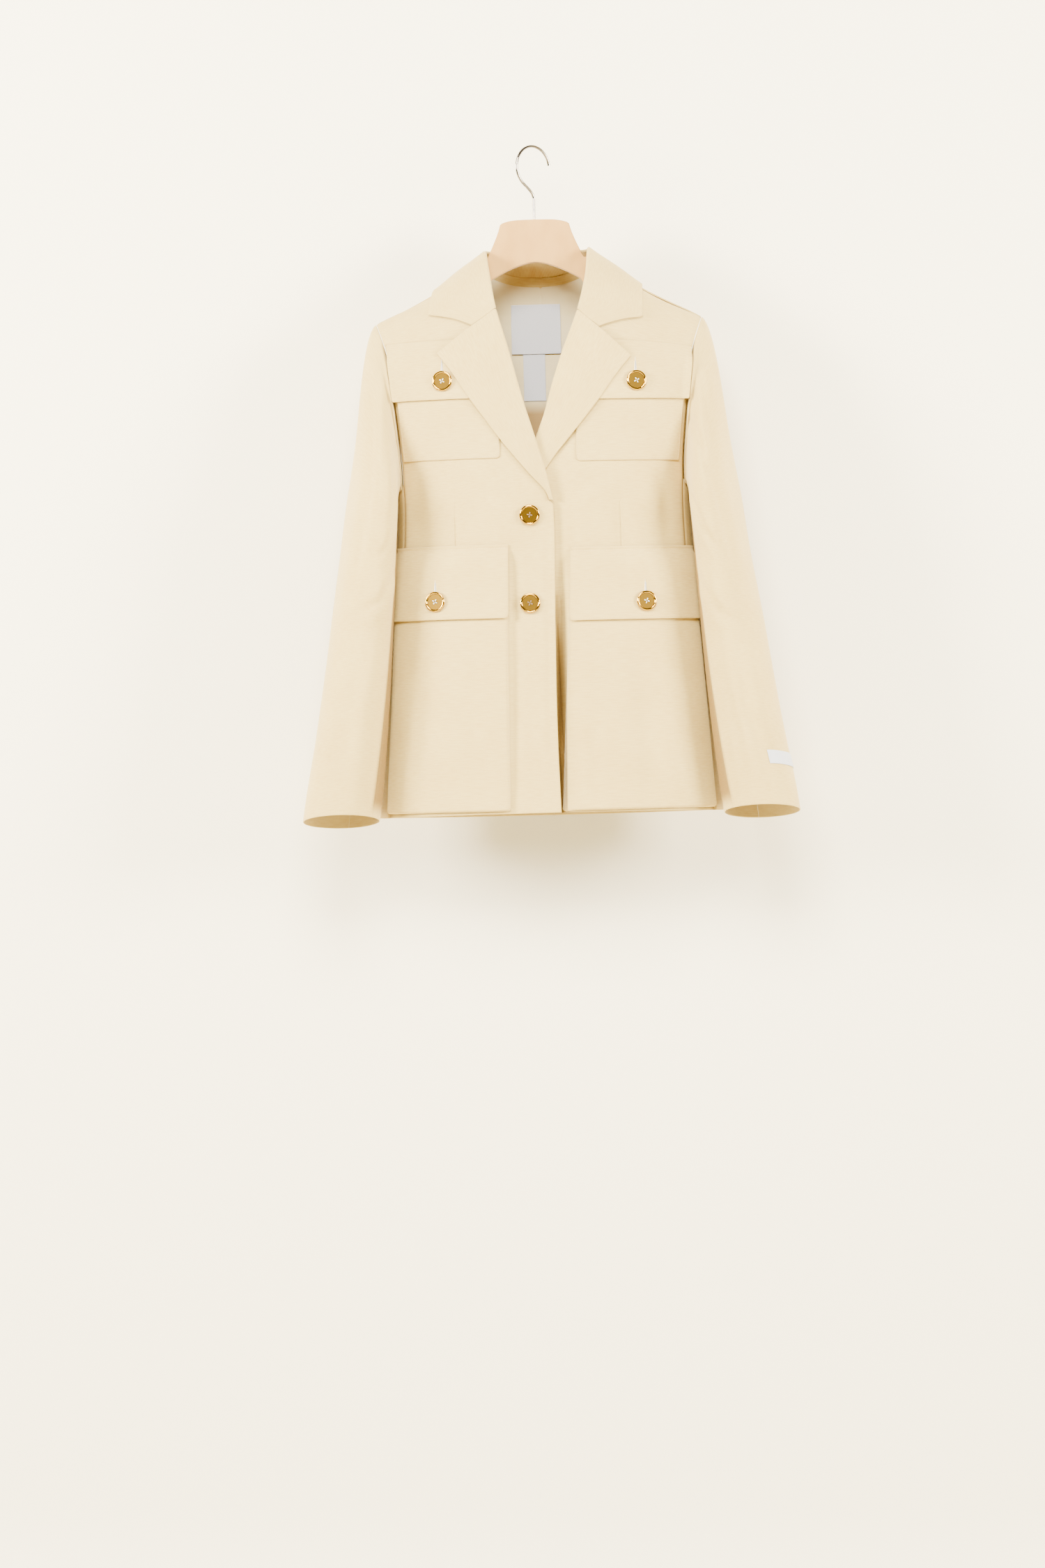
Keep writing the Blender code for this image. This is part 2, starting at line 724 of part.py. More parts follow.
def sleeve_ring(side, z, turn, inset=0.0):
    """A point of the sleeve's section; turn 0 is its outer edge and a quarter its front."""
    half_x = (sleeve_tables["outer_x"](z) - sleeve_tables["inner_x"](z)) / 2
    middle = (sleeve_tables["outer_x"](z) + sleeve_tables["inner_x"](z)) / 2
    tilt = math.radians(sleeve_tables["tilt"](z))
    deep = sleeve_tables["half_depth"](z)
    thin = math.sqrt(half_x**2 - (deep * math.sin(tilt)) ** 2) / math.cos(tilt)
    deep -= inset
    thin -= inset
    angle = 2 * math.pi * turn
    along = deep * math.sin(angle)
    out = thin * math.cos(angle)
    x = middle - along * math.sin(tilt) + out * math.cos(tilt)
    y = -along * math.cos(tilt) - out * math.sin(tilt)
    drop = sleeve_tables["dip"](z) * y
    return Vector((side * x, y + sleeve_tables["y"](z), z - drop))


def sleeve_point(side, loop, turn, v, inset=0.0):
    """A point of the sleeve: the cap runs from the armhole to the first section."""
    cap_share = CAP_ROWS[side] / (CAP_ROWS[side] + ARM_ROWS)
    first = SLEEVE[0].z
    if v >= cap_share:
        z = lerp(first, SLEEVE[-1].z, (v - cap_share) / (1 - cap_share))
        return sleeve_ring(side, z, turn, inset)
    t = v / cap_share
    start = resampled(loop, turn)
    angle = 2 * math.pi * turn
    drop = max(math.cos(angle), CAP_LEAST_DROP)
    away = Vector((side * CAP_AWAY.x, -CAP_AWAY.y * math.sin(angle), -CAP_AWAY.z * drop))
    away.normalize()
    start = start + away * ARMHOLE_GAP
    if inset:
        middle_z = lerp(SHOULDER_TIP_Z, UNDERARM_Z, 0.5)
        centre = Vector((side * ARMHOLE_CENTRE_X, 0.0, middle_z))
        inward = centre - start
        inward.x = 0.0
        start = start + inward.normalized() * inset
    end = sleeve_ring(side, first, turn, inset)
    below = sleeve_ring(side, first - 0.01, turn, inset)
    span = (end - start).length
    leave = away * span * CAP_START
    arrive = (below - end).normalized() * span * CAP_END
    return (
        (2 * t**3 - 3 * t**2 + 1) * start
        + (t**3 - 2 * t**2 + t) * leave
        + (3 * t**2 - 2 * t**3) * end
        + (t**3 - t**2) * arrive
    )


def sleeve(side, name, start, end, columns):
    """Top or under sleeve: the part of the way round that lies between two seams."""
    loop = armhole_loop(side)
    low, high = start + SLEEVE_SEAM_HALF, end - SLEEVE_SEAM_HALF
    return sheet(
        name,
        columns,
        CAP_ROWS[side] + ARM_ROWS,
        lambda u, v: sleeve_point(side, loop, lerp(low, high, u), v),
        lambda u, v: sleeve_point(side, loop, lerp(low, high, u), v, CLOTH),
    )


# ---------------------------------------------------------------- roll of lapel and collar

STAND_COLUMNS = 1
ROLL_COLUMNS = 4
FALL_COLUMNS = 6
FALL_SETTLE = 1.6  # a fall is at its full height over the panel by the inverse of this share
FOLDED_COLUMNS = STAND_COLUMNS + ROLL_COLUMNS + FALL_COLUMNS


def rolled(u, v, hidden, spots):
    """A point of a sheet that stands, rolls over and falls back.

    spots(u) gives (stand, fold, fall, lift): functions that place the stand and the fall at a
    share of their width and a height over the form, and the fold as (point, away, normal).
    """
    stand, fold, fall, lift = spots(u)
    column = v * FOLDED_COLUMNS
    middle = FOLD_GAP / 2
    if column < STAND_COLUMNS:
        return stand(1 - column / STAND_COLUMNS, 0.0 if hidden else -CLOTH)
    if column <= STAND_COLUMNS + ROLL_COLUMNS:
        turn = math.pi * (column - STAND_COLUMNS) / ROLL_COLUMNS
        radius = middle if hidden else ROLL_RADIUS
        point, away, normal = fold
        return point - away * radius * math.sin(turn) + normal * (middle - radius * math.cos(turn))
    share = (column - STAND_COLUMNS - ROLL_COLUMNS) / FALL_COLUMNS
    height = FOLD_GAP + (lift - FOLD_GAP - CLOTH) * smoothstep(share * FALL_SETTLE)
    return fall(share, height if hidden else height + CLOTH)


def lapel(side, name):
    rows = LAPEL[side]
    last = len(rows) - 1
    count = 12

    def row_value(column, u):
        values = smooth([(k / last, getattr(row, column)) for k, row in enumerate(rows)])
        return values(u)

    def spots(u):
        at = 1 - u
        z = row_value("roll_z", at)
        x = roll_x[side](z) + side * ROLL_RADIUS
        tip = (row_value("edge_x", at), row_value("edge_z", at))

        def fall(share, out):
            spot = lerp(x, tip[0], share), lerp(z, tip[1], share)
            return on_front(side, *spot, out + LAPEL_CLEAR)

        def stand(share, out):
            beside = x + side * (ROLL_STAND - LAPEL_SEAM) * share
            return on_front(side, beside, z, out + LAPEL_CLEAR)

        base = on_front(side, x, z, LAPEL_CLEAR)
        normal = (on_front(side, x, z, LAPEL_CLEAR + 0.001) - base).normalized()
        away = on_front(side, x + side * 0.001, z, LAPEL_CLEAR) - base
        away = (away - normal * away.dot(normal)).normalized()
        return stand, (base, away, normal), fall, row_value("lift", at)

    return sheet(
        name,
        count,
        FOLDED_COLUMNS,
        lambda u, v: rolled(u, v, False, spots),
        lambda u, v: rolled(u, v, True, spots),
    )


def on_neck(x, slide, out):
    """A point by its place across and its signed slide down from the shoulder line."""
    face = FRONT if slide >= 0 else BACK
    return on_body(x, shoulder_z(x) - RISE_HEIGHT * slide**2, face, out)


def slide_of(x, z, face):
    drop = max(shoulder_z(x) - z, 0.0)
    return -face * math.sqrt(drop / RISE_HEIGHT)


def collar_lines(side, t):
    """Panel edge, fold and outer edge at a share t from the gorge to the centre back."""
    leaf = COLLAR_LEAF[side]
    if t <= COLLAR_SHOULDER_AT:
        share = t / COLLAR_SHOULDER_AT
        z = lerp(LAPEL[side][0].roll_z + NOTCH_GAP, COLLAR_FOLD_Z, share)
        fold_x = abs(roll_x[side](z)) + ROLL_RADIUS
        fold = (fold_x, slide_of(fold_x, z, FRONT))
        edge_z = lerp(LAPEL[side][0].roll_z + NOTCH_GAP, NECK_Z, share)
        panel_x = abs(front_inner_x(side, edge_z)) - NECK_SEAM
        panel = (panel_x, slide_of(panel_x, edge_z, FRONT))
        point = (leaf.point_x, slide_of(leaf.point_x, leaf.point_z, FRONT))
        if t <= COLLAR_POINT_AT:
            along = t / COLLAR_POINT_AT
            notch = (leaf.notch_x, slide_of(leaf.notch_x, leaf.notch_z, FRONT))
            outer = (lerp(notch[0], point[0], along), lerp(notch[1], point[1], along))
        else:
            along = (t - COLLAR_POINT_AT) / (COLLAR_SHOULDER_AT - COLLAR_POINT_AT)
            outer = (lerp(point[0], COLLAR_RIDGE_X, along), lerp(point[1], 0.0, along))
        return panel, fold, outer
    share = (t - COLLAR_SHOULDER_AT) / (1 - COLLAR_SHOULDER_AT)
    quarter = share * math.pi / 2
    fold_x = (COLLAR_FOLD_X + ROLL_RADIUS) * math.cos(quarter)
    fold_z = lerp(COLLAR_FOLD_Z, COLLAR_BACK_FOLD_Z, share) - ROLL_RADIUS
    fold = (fold_x, slide_of(fold_x, fold_z, BACK))
    neck_x, neck_z = back_neck(side, NECK_COLUMNS * (1 - share))
    panel = (abs(neck_x), slide_of(neck_x, neck_z + SEAM, BACK))
    outer_across = COLLAR_RIDGE_X * math.cos(quarter)
    start = shoulder_z(COLLAR_RIDGE_X)
    outer_z = lerp(start, COLLAR_BACK_Z, share) - COLLAR_SAG * math.sin(math.pi * share)
    outer = (outer_across, slide_of(outer_across, outer_z, BACK))
    return panel, fold, outer


def collar(name):
    count = 4 * NECK_COLUMNS

    def spots(u):
        side = RIGHT if u < 0.5 else LEFT
        panel, fold, outer = collar_lines(side, 1 - abs(2 * u - 1))

        def fall(share, out):
            x = lerp(fold[0], outer[0], share)
            return on_neck(side * x, lerp(fold[1], outer[1], share), out)

        def stand(share, out):
            x = lerp(fold[0], panel[0], share)
            return on_neck(side * x, lerp(fold[1], panel[1], share), out)

        base = on_neck(side * fold[0], fold[1], 0.0)
        normal = (on_neck(side * fold[0], fold[1], 0.001) - base).normalized()
        away = fall(0.05, 0.0) - base
        away = (away - normal * away.dot(normal)).normalized()
        return stand, (base, away, normal), fall, COLLAR_LIFT

    return sheet(
        name,
        count,
        FOLDED_COLUMNS,
        lambda u, v: rolled(u, v, False, spots),
        lambda u, v: rolled(u, v, True, spots),
    )


# ---------------------------------------------------------------- pockets, flaps, buttons

POCKET_FACE = LAY + THIN_CLOTH
FLAP_FACE = POCKET_FACE + LAY + CLOTH


def flap_height(top, z):
    """Face of a flap over its panel: it leaves the seam low and rises onto the pocket."""
    share = smoothstep((top - z) / FLAP_HINGE)
    return lerp(LAY + CLOTH, FLAP_FACE, share)


def patch_x(side, inner, outer, u, columns):
    """Grid lines of a patch; one follows the line where the left front begins to sink."""
    if side == RIGHT or inner >= SINK_FROM_X:
        return lerp(inner, outer, spread(u, PATCH_SPREAD))
    first = 1 / columns
    if u <= first:
        return lerp(inner, SINK_FROM_X, u / first)
    return lerp(SINK_FROM_X, outer, spread((u - first) / (1 - first), PATCH_SPREAD))


def patch_place(side, patch, columns, u, v, out, top=None):
    """A point of a patch that may run round onto the side panel."""
    upper = patch.top if top is None else top(lerp(patch.inner_top, patch.outer_top, u))
    z = lerp(patch.bottom, upper, v)
    down = 1 - v
    inner = lerp(patch.inner_top, patch.inner_bottom, down)
    outer = lerp(patch.outer_top, patch.outer_bottom, down)
    x = patch_x(side, inner, outer, u, columns)
    height = out(z) if callable(out) else out
    round_side = smoothstep((u - PATCH_TURN_FROM) / (1 - PATCH_TURN_FROM))
    return on_front(side, x, z, height + PATCH_SIDE_LIFT * round_side)


def pocket(side, name, patch, columns, rows):
    return sheet(
        name,
        columns,
        rows,
        lambda u, v: patch_place(side, patch, columns, u, v, POCKET_FACE),
        lambda u, v: patch_place(side, patch, columns, u, v, LAY),
    )


def flap(side, name, patch, columns, rows, top=None):
    def face(z):
        return flap_height(patch.top if top is None else top(patch.outer_top), z)

    return sheet(
        name,
        columns,
        rows,
        lambda u, v: patch_place(side, patch, columns, u, v, face, top),
        lambda u, v: patch_place(side, patch, columns, u, v, lambda z: face(z) - CLOTH, top),
    )


def button(spot):
    """A turned button: a raised rim round a shallow well."""
    rim_inner = BUTTON_RADIUS - BUTTON_RIM
    profile = (
        (0.0, BUTTON_WELL),
        (rim_inner - BUTTON_WELL_SLOPE, BUTTON_WELL),
        (rim_inner, BUTTON_THICKNESS),
        (BUTTON_RADIUS - BUTTON_EDGE, BUTTON_THICKNESS - BUTTON_EDGE / 2),
        (BUTTON_RADIUS, BUTTON_THICKNESS / 2),
        (BUTTON_RADIUS - BUTTON_FOOT, 0.0),
        (0.0, 0.0),
    )
    bm = bmesh.new()
    verts = [bm.verts.new((radius, 0, height)) for radius, height in profile]
    edges = [bm.edges.new(pair) for pair in zip(verts, verts[1:])]
    bmesh.ops.spin(
        bm,
        geom=verts + edges,
        cent=(0, 0, 0),
        axis=(0, 0, 1),
        angle=2 * math.pi,
        steps=BUTTON_SIDES,
        use_merge=True,
    )
    bmesh.ops.remove_doubles(bm, verts=bm.verts, dist=1e-6)
    carrier_face = 0.0 if spot.carrier == "front" else FLAP_FACE
    seat = on_front(spot.side, spot.x, spot.z, carrier_face + BUTTON_CLEAR)
    normal = (on_front(spot.side, spot.x, spot.z, carrier_face + 0.01) - seat).normalized()
    turn = Vector((0, 0, 1)).rotation_difference(normal).to_matrix().to_4x4()
    bmesh.ops.transform(bm, matrix=Matrix.Translation(seat) @ turn, verts=bm.verts)
    return finish(bm, spot.name, "gold")


# ---------------------------------------------------------------- inside the neck

BAND_FACE = -CLOTH - LAY  # the face that shows looks into the neck
LABEL_FACE = BAND_FACE - THIN_CLOTH - LAY


def inside_back(name, x_from, x_to, z_top, z_bottom, face, wall, columns, rows, colour):
    """A sheet on the inside of the back, flat in outline."""

    def place(u, v, out):
        return on_body(lerp(x_from, x_to, u), lerp(z_bottom, z_top, v), BACK, out)

    return sheet(
        name,
        columns,
        rows,
        lambda u, v: place(u, v, face),
        lambda u, v: place(u, v, face - wall),
        colour,
    )


def neck_facing():
    """The band of outer cloth inside the back neck, on the back's own grid."""
    end = NECK_COLUMNS - BAND_SIDE_INSET
    lines = [-end, *range(1 - NECK_COLUMNS, NECK_COLUMNS), end]

    def place(u, v, out):
        line = lines[round(u * (len(lines) - 1))]
        side = LEFT if line >= 0 else RIGHT
        return back_spot(side, abs(line), lerp(BAND_ROW, BAND_INSET, v), out)

    sheet(
        "neck_facing",
        len(lines) - 1,
        BAND_ROW,
        lambda u, v: place(u, v, BAND_FACE),
        lambda u, v: place(u, v, BAND_FACE - THIN_CLOTH),
    )


def lining(side, name):
    """Half of the back lining, on the back's own grid, from the band to below the armholes."""
    first = BAND_ROW + LINING_INSET
    last = len(BACK_DROPS) + 1
    rows = last - BAND_ROW

    def place(u, v, out):
        row = max(last - round(v * rows), first)
        return back_spot(side, u * (BACK_COLUMNS - 1), row, out)

    return sheet(
        name,
        BACK_COLUMNS - 1,
        rows,
        lambda u, v: place(u, v, BAND_FACE),
        lambda u, v: place(u, v, BAND_FACE - THIN_CLOTH),
        "lining",
    )


def neck_inside():
    neck_facing()
    lining(RIGHT, "lining_right")
    lining(LEFT, "lining_left")
    half = NECK_LABEL_SIZE / 2
    inside_back(
        "neck_label",
        NECK_LABEL_X - half,
        NECK_LABEL_X + half,
        NECK_LABEL_TOP_Z,
        NECK_LABEL_TOP_Z - NECK_LABEL_SIZE,
        LABEL_FACE - LABEL_CLOTH - LAY,
        LABEL_CLOTH,
        5,
        4,
        "label",
    )
    half = SIZE_LABEL_WIDTH / 2
    inside_back(
        "size_label",
        SIZE_LABEL_X - half,
        SIZE_LABEL_X + half,
        SIZE_LABEL_TOP_Z,
        SIZE_LABEL_BOTTOM_Z,
        LABEL_FACE,
        LABEL_CLOTH,
        3,
        5,
        "label",
    )


def sleeve_label():
    """A small woven label round the outer edge of the left sleeve."""
    middle_z = SLEEVE_LABEL_TOP_Z - SLEEVE_LABEL_HEIGHT / 2

    def place(u, v, out):
        z = middle_z + (v - 0.5) * SLEEVE_LABEL_HEIGHT
        turn = lerp(SLEEVE_LABEL_FROM, SLEEVE_LABEL_TO, u) / 360
        return sleeve_ring(LEFT, z, turn, -out)

    sheet(
        "sleeve_label",
        8,
        3,
        lambda u, v: place(u, v, LAY + LABEL_CLOTH),
        lambda u, v: place(u, v, LAY),
        "label",
    )


# ---------------------------------------------------------------- hanger


def hanger_upper_z(x):
    across = abs(x)
    if across <= HANGER_CORNER_X:
        share = across / HANGER_CORNER_X
        return lerp(HANGER_TOP_Z, HANGER_CORNER_Z, share**4)
    if across <= HANGER_NECK_X:
        share = (across - HANGER_CORNER_X) / (HANGER_NECK_X - HANGER_CORNER_X)
        return lerp(HANGER_CORNER_Z, HANGER_NECK_Z, share**0.8)
    below = lerp(HANGER_UNDER_COLLAR, HANGER_UNDER_CLOTH, clamped((across - NECK_X) / HANGER_EASE))
    under = shoulder_z(across) - below
    return min(HANGER_NECK_Z, under)


def hanger_lower_z(x):
    across = abs(x)
    if across <= HANGER_ARCH_END_X:
        share = across / HANGER_ARCH_END_X
        return lerp(HANGER_ARCH_Z, HANGER_ARCH_END_Z, share**1.6)
    share = (across - HANGER_ARCH_END_X) / (HANGER_ARM_END_X - HANGER_ARCH_END_X)
    root = hanger_upper_z(HANGER_ARCH_END_X) - HANGER_ARCH_END_Z
    height = lerp(root, HANGER_TIP_HEIGHT, smoothstep(share * 1.3))
    return hanger_upper_z(across) - height


def hanger_bar():
    """The flocked body: one outline, thickened and rounded."""
    bm = bmesh.new()
    steps = 32
    half = HANGER_THICKNESS / 2
    upper = []
    lower = []
    for i in range(steps + 1):
        x = lerp(-HANGER_ARM_END_X, HANGER_ARM_END_X, i / steps)
        upper.append(bm.verts.new((x, -half, hanger_upper_z(x))))
        lower.append(bm.verts.new((x, -half, hanger_lower_z(x))))
    outline = upper + lower[::-1]
    bm.faces.new(outline)
    sweep = bmesh.ops.extrude_face_region(bm, geom=bm.faces[:])
    moved = [g for g in sweep["geom"] if isinstance(g, bmesh.types.BMVert)]
    bmesh.ops.translate(bm, vec=(0, HANGER_THICKNESS, 0), verts=moved)
    rims = [e for e in bm.edges if abs(e.verts[0].co.y - e.verts[1].co.y) < half]
    bmesh.ops.bevel(
        bm,
        geom=rims,
        offset=HANGER_ROUNDING,
        segments=2,
        profile=0.5,
        affect="EDGES",
        material=-1,
        clamp_overlap=True,
    )
    return finish(bm, "hanger_bar", "flock", on_jacket=False)


def hook_point(across, z):
    return Vector((across * math.cos(HOOK_SWIVEL), across * math.sin(HOOK_SWIVEL), z))


def hanger_hook():
    """One bent wire: tip, loop over the rail, a swan neck back to the middle, a stem."""
    centre_z = -(HOOK_RADIUS - HOOK_WIRE / 2)
    points = []
    loop_steps = 20
    for i in range(loop_steps + 1):
        angle = math.radians(lerp(HOOK_TIP_ANGLE, HOOK_TURN_ANGLE, i / loop_steps))
        points.append((HOOK_RADIUS * math.cos(angle), centre_z + HOOK_RADIUS * math.sin(angle)))
    end = Vector(points[-1])
    stem_top = Vector((0.0, HOOK_STEM_TOP_Z))
    heading = Vector((-math.sin(angle), math.cos(angle)))
    span = (stem_top - end).length
    for i in range(1, 9):
        t = i / 8
        bend = (
            (2 * t**3 - 3 * t**2 + 1) * end
            + (t**3 - 2 * t**2 + t) * heading * span
            + (3 * t**2 - 2 * t**3) * stem_top
            + (t**3 - t**2) * Vector((0.0, -1.0)) * span
        )
        points.append(tuple(bend))
    points.append((0.0, HANGER_TOP_Z + SEAM))
    data = bpy.data.curves.new("hanger_hook", "CURVE")
    data.dimensions = "3D"
    data.bevel_depth = HOOK_WIRE / 2
    data.bevel_resolution = 2
    data.use_fill_caps = True
    spline = data.splines.new("POLY")
    spline.points.add(len(points) - 1)
    swing = Matrix.Rotation(-SWING, 3, "Y")
    for spot, (across, z) in zip(spline.points, points):
        spot.co = (*(swing @ hook_point(across, z)), 1.0)
    data.materials.append(material("steel"))
    made = bpy.data.objects.new("hanger_hook", data)
    bpy.context.scene.collection.objects.link(made)
    return made


# ---------------------------------------------------------------- the jacket


def clear_scene():
    for existing in list(bpy.data.objects):
        bpy.data.objects.remove(existing, do_unlink=True)


def build():
    clear_scene()
    hanger_bar()
    hanger_hook()
    for side, word in ((RIGHT, "right"), (LEFT, "left")):
        back(side, f"back_{word}")
        side_panel(side, f"side_{word}")
        yoke(side, f"yoke_{word}")
        front(side, f"front_{word}")
        seams = SLEEVE_SEAMS[side]
        sleeve(side, f"sleeve_top_{word}", seams.back, 1 + seams.front, TOP_COLUMNS)
        sleeve(side, f"sleeve_under_{word}", seams.front, seams.back, UNDER_COLUMNS)
        lapel(side, f"lapel_{word}")
        pocket(side, f"chest_pocket_{word}", CHEST_POCKET[side], 7, 5)
        pocket(side, f"lower_pocket_{word}", LOWER_POCKET[side], 8, 9)
        flap(
            side,
            f"chest_flap_{word}",
            CHEST_FLAP[side],
            7,
            5,
            lambda x, side=side: yoke_z(side, x) - SEAM,
        )
        flap(side, f"lower_flap_{word}", LOWER_FLAP[side], 8, 5)
    collar("collar")
    neck_inside()
    sleeve_label()
    for spot in BUTTONS:
        button(spot)


build()
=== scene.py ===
"""Looks of a safari jacket that hangs on a flocked hanger.

Every cut piece of the jacket is a wall of cloth laid on one body form. The form, the sleeves and
the rolls of collar and lapels are surfaces worked out from named sizes. Creases, seams and edges
are heights over those surfaces, so what lies on a panel follows the panel's folds. Metres, +Z up,
the front faces -Y, and the origin is where a rail bears on the hook.
"""

import logging
import math
from collections.abc import Callable, Sequence
from dataclasses import dataclass, field
from enum import Enum
from typing import NamedTuple

import bmesh
import bpy
import numpy as np
from mathutils import Matrix, Vector


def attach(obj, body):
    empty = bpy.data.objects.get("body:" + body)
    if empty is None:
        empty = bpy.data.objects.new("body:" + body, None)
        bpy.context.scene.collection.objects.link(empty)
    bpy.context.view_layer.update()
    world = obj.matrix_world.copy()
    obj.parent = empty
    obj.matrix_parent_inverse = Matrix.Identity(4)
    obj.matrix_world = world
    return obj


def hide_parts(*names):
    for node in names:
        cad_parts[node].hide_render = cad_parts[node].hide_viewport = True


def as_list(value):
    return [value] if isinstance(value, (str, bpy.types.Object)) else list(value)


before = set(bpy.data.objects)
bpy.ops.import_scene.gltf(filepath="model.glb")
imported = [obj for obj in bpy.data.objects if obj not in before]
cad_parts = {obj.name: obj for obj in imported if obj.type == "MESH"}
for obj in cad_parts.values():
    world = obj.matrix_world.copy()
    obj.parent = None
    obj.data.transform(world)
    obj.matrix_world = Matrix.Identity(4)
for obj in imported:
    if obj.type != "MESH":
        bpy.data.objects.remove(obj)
log = logging.getLogger("jacket")

Array = np.ndarray
Surface = Callable[[Array, Array, Array], Array]
BODY = "root"
MM = 0.001
GRID = 3.2 * MM  # spacing of a piece's grid
EDGE_LINES = (0.12 * MM, 0.40 * MM, 0.85 * MM, 1.5 * MM, 2.6 * MM, 4.2 * MM)  # in from an edge
LINE_STEPS = (0.45 * MM, 0.95 * MM, 1.6 * MM, 2.6 * MM)  # off a dart
ROUND_SIDE = 0.85  # how much a patch's columns are drawn together towards the side
# painted shade: a vertex attribute that darkens the cloth in crevices
PAINTED_SHADE = "painted_shade"  # vertex attribute: 1 deep in a crevice, 0 in the open

FRONT = -1
BACK = 1
RIGHT = -1  # the wearer's right, at -X, which laps over
LEFT = 1
WORDS = {RIGHT: "right", LEFT: "left"}


# ---------------------------------------------------------------- small tools


def hermite(t: Array, start: Array, leave: Array, end: Array, arrive: Array) -> Array:
    """Cubic from start to end as t runs from 0 to 1, with the slope at each end."""
    return (
        (2 * t**3 - 3 * t**2 + 1) * start
        + (t**3 - 2 * t**2 + t) * leave
        + (3 * t**2 - 2 * t**3) * end
        + (t**3 - t**2) * arrive
    )


def smooth(rows: Sequence[Sequence[float]]) -> Callable[[Array], Array]:
    """Make a smooth function through the (at, value) pairs of a short table.

    Args:
        rows: pairs, in any order; the function is level past the ends.

    Returns:
        A function of an array of places.
    """
    ats, values = np.array(sorted((float(row[0]), float(row[1])) for row in rows)).T
    low = np.maximum(np.arange(len(ats)) - 1, 0)
    high = np.minimum(np.arange(len(ats)) + 1, len(ats) - 1)
    slopes = (values[high] - values[low]) / (ats[high] - ats[low])

    def value(at: Array) -> Array:
        at = np.clip(np.asarray(at, float), ats[0], ats[-1])
        i = np.clip(np.searchsorted(ats, at, side="right") - 1, 0, len(ats) - 2)
        step = ats[i + 1] - ats[i]
        t = (at - ats[i]) / step
        return hermite(t, values[i], slopes[i] * step, values[i + 1], slopes[i + 1] * step)

    return value


def lerp(low: Array, high: Array, share: Array) -> Array:
    """Blend from low to high."""
    return low + (high - low) * share


def clamp(value: Array) -> Array:
    """Hold values between 0 and 1."""
    return np.clip(value, 0.0, 1.0)


def smoothstep(value: Array) -> Array:
    """Rise smoothly from 0 to 1 as value does."""
    value = clamp(value)
    return value * value * (3 - 2 * value)


def bump(distance: Array, width: float) -> Array:
    """A soft bell, 1 at distance 0 and gone at about twice the width."""
    return np.exp(-((distance / width) ** 2))


def arrays(*values: Array) -> list[Array]:
    """The values as arrays of one shape."""
    return [np.asarray(a, float) for a in np.broadcast_arrays(*values)]


def stacked(x: Array, y: Array, z: Array) -> Array:
    """Points from three arrays that may differ in shape."""
    return np.stack(arrays(x, y, z), axis=-1)


def unit(vectors: Array) -> Array:
    """Vectors at length 1."""
    return vectors / np.maximum(np.linalg.norm(vectors, axis=-1, keepdims=True), 1e-12)


def lengths_along(points: Array) -> Array:
    """Length run from the first point to each point of a line."""
    return np.concatenate([[0.0], np.cumsum(np.linalg.norm(np.diff(points, axis=0), axis=1))])


def spread(share: Array, strength: float = 0.8) -> Array:
    """Even shares drawn together towards 1, where the form turns round the side."""
    quarter = math.pi / 2 * strength
    return np.sin(share * quarter) / math.sin(quarter)


def unspread(share: Array, strength: float = 0.8) -> Array:
    """Undo spread."""
    quarter = math.pi / 2 * strength
    return np.arcsin(clamp(share) * math.sin(quarter)) / quarter


def stations(
    count: int, length: float, fine: Sequence[bool] = (True, True), lines: Sequence[float] = ()
) -> Array:
    """Places of grid lines from 0 to 1, with close lines beside a finished edge.

    Args:
        count: even spaces between the two ends.
        length: size of the piece this way, in metres.
        fine: whether the start and the end are rounded or sewn edges.
        lines: places that need close lines on both sides, such as a dart.

    Returns:
        The places in rising order.
    """
    places = list(np.linspace(0.0, 1.0, count + 1))
    for at_end, wanted in enumerate(fine):
        if wanted:
            places += [1 - d / length if at_end else d / length for d in EDGE_LINES]
    for line in lines:
        places += [line] + [line + side * d / length for d in LINE_STEPS for side in (-1, 1)]
    least = EDGE_LINES[0] * 0.8 / length
    kept = [0.0]
    for place in sorted(places)[1:-1]:
        if place - kept[-1] > least and 1 - place > least:
            kept.append(place)
    return np.array([*kept, 1.0])


def spaced(
    length: float, step: float, fine: Sequence[bool] = (True, True), lines: Sequence[float] = ()
) -> Array:
    """Stations about a step apart along a length."""
    return stations(max(2, round(length / step)), length, fine, lines)


# ---------------------------------------------------------------- creases


@dataclass(frozen=True)
class Crease:
    """A soft fold along a line: a trough with a swell on both sides of it.

    Attributes:
        path: places (x, z) along the fold, in the jacket's frame.
        depth: how deep the trough is.
        width: half width of the trough.
        swell: height of the swell beside it, as a share of depth.
    """

    path: tuple[tuple[float, float], ...]
    depth: float
    width: float
    swell: float
    swell_at: float = 1.9  # in widths from the trough's middle
    swell_width: float = 1.3

    def height(self, x: Array, z: Array) -> Array:
        """Height over the form at each place."""
        best = np.full(np.shape(x), np.inf)
        along = np.zeros(np.shape(x))
        legs = list(zip(self.path, self.path[1:]))
        whole = sum(math.dist(start, end) for start, end in legs)
        passed = 0.0
        for start, end in legs:
            run = math.dist(start, end)
            dx, dz = (end[0] - start[0]) / run, (end[1] - start[1]) / run
            t = np.clip((x - start[0]) * dx + (z - start[1]) * dz, 0.0, run)
            away = np.hypot(x - start[0] - t * dx, z - start[1] - t * dz)
            along = np.where(away < best, (passed + t) / whole, along)
            best = np.minimum(away, best)
            passed += run
        taper = np.sin(np.pi * np.clip(along, 0.02, 0.98)) ** 0.6
        beside = bump(best - self.swell_at * self.width, self.swell_width * self.width)
        return self.depth * taper * (self.swell * beside - bump(best, self.width))


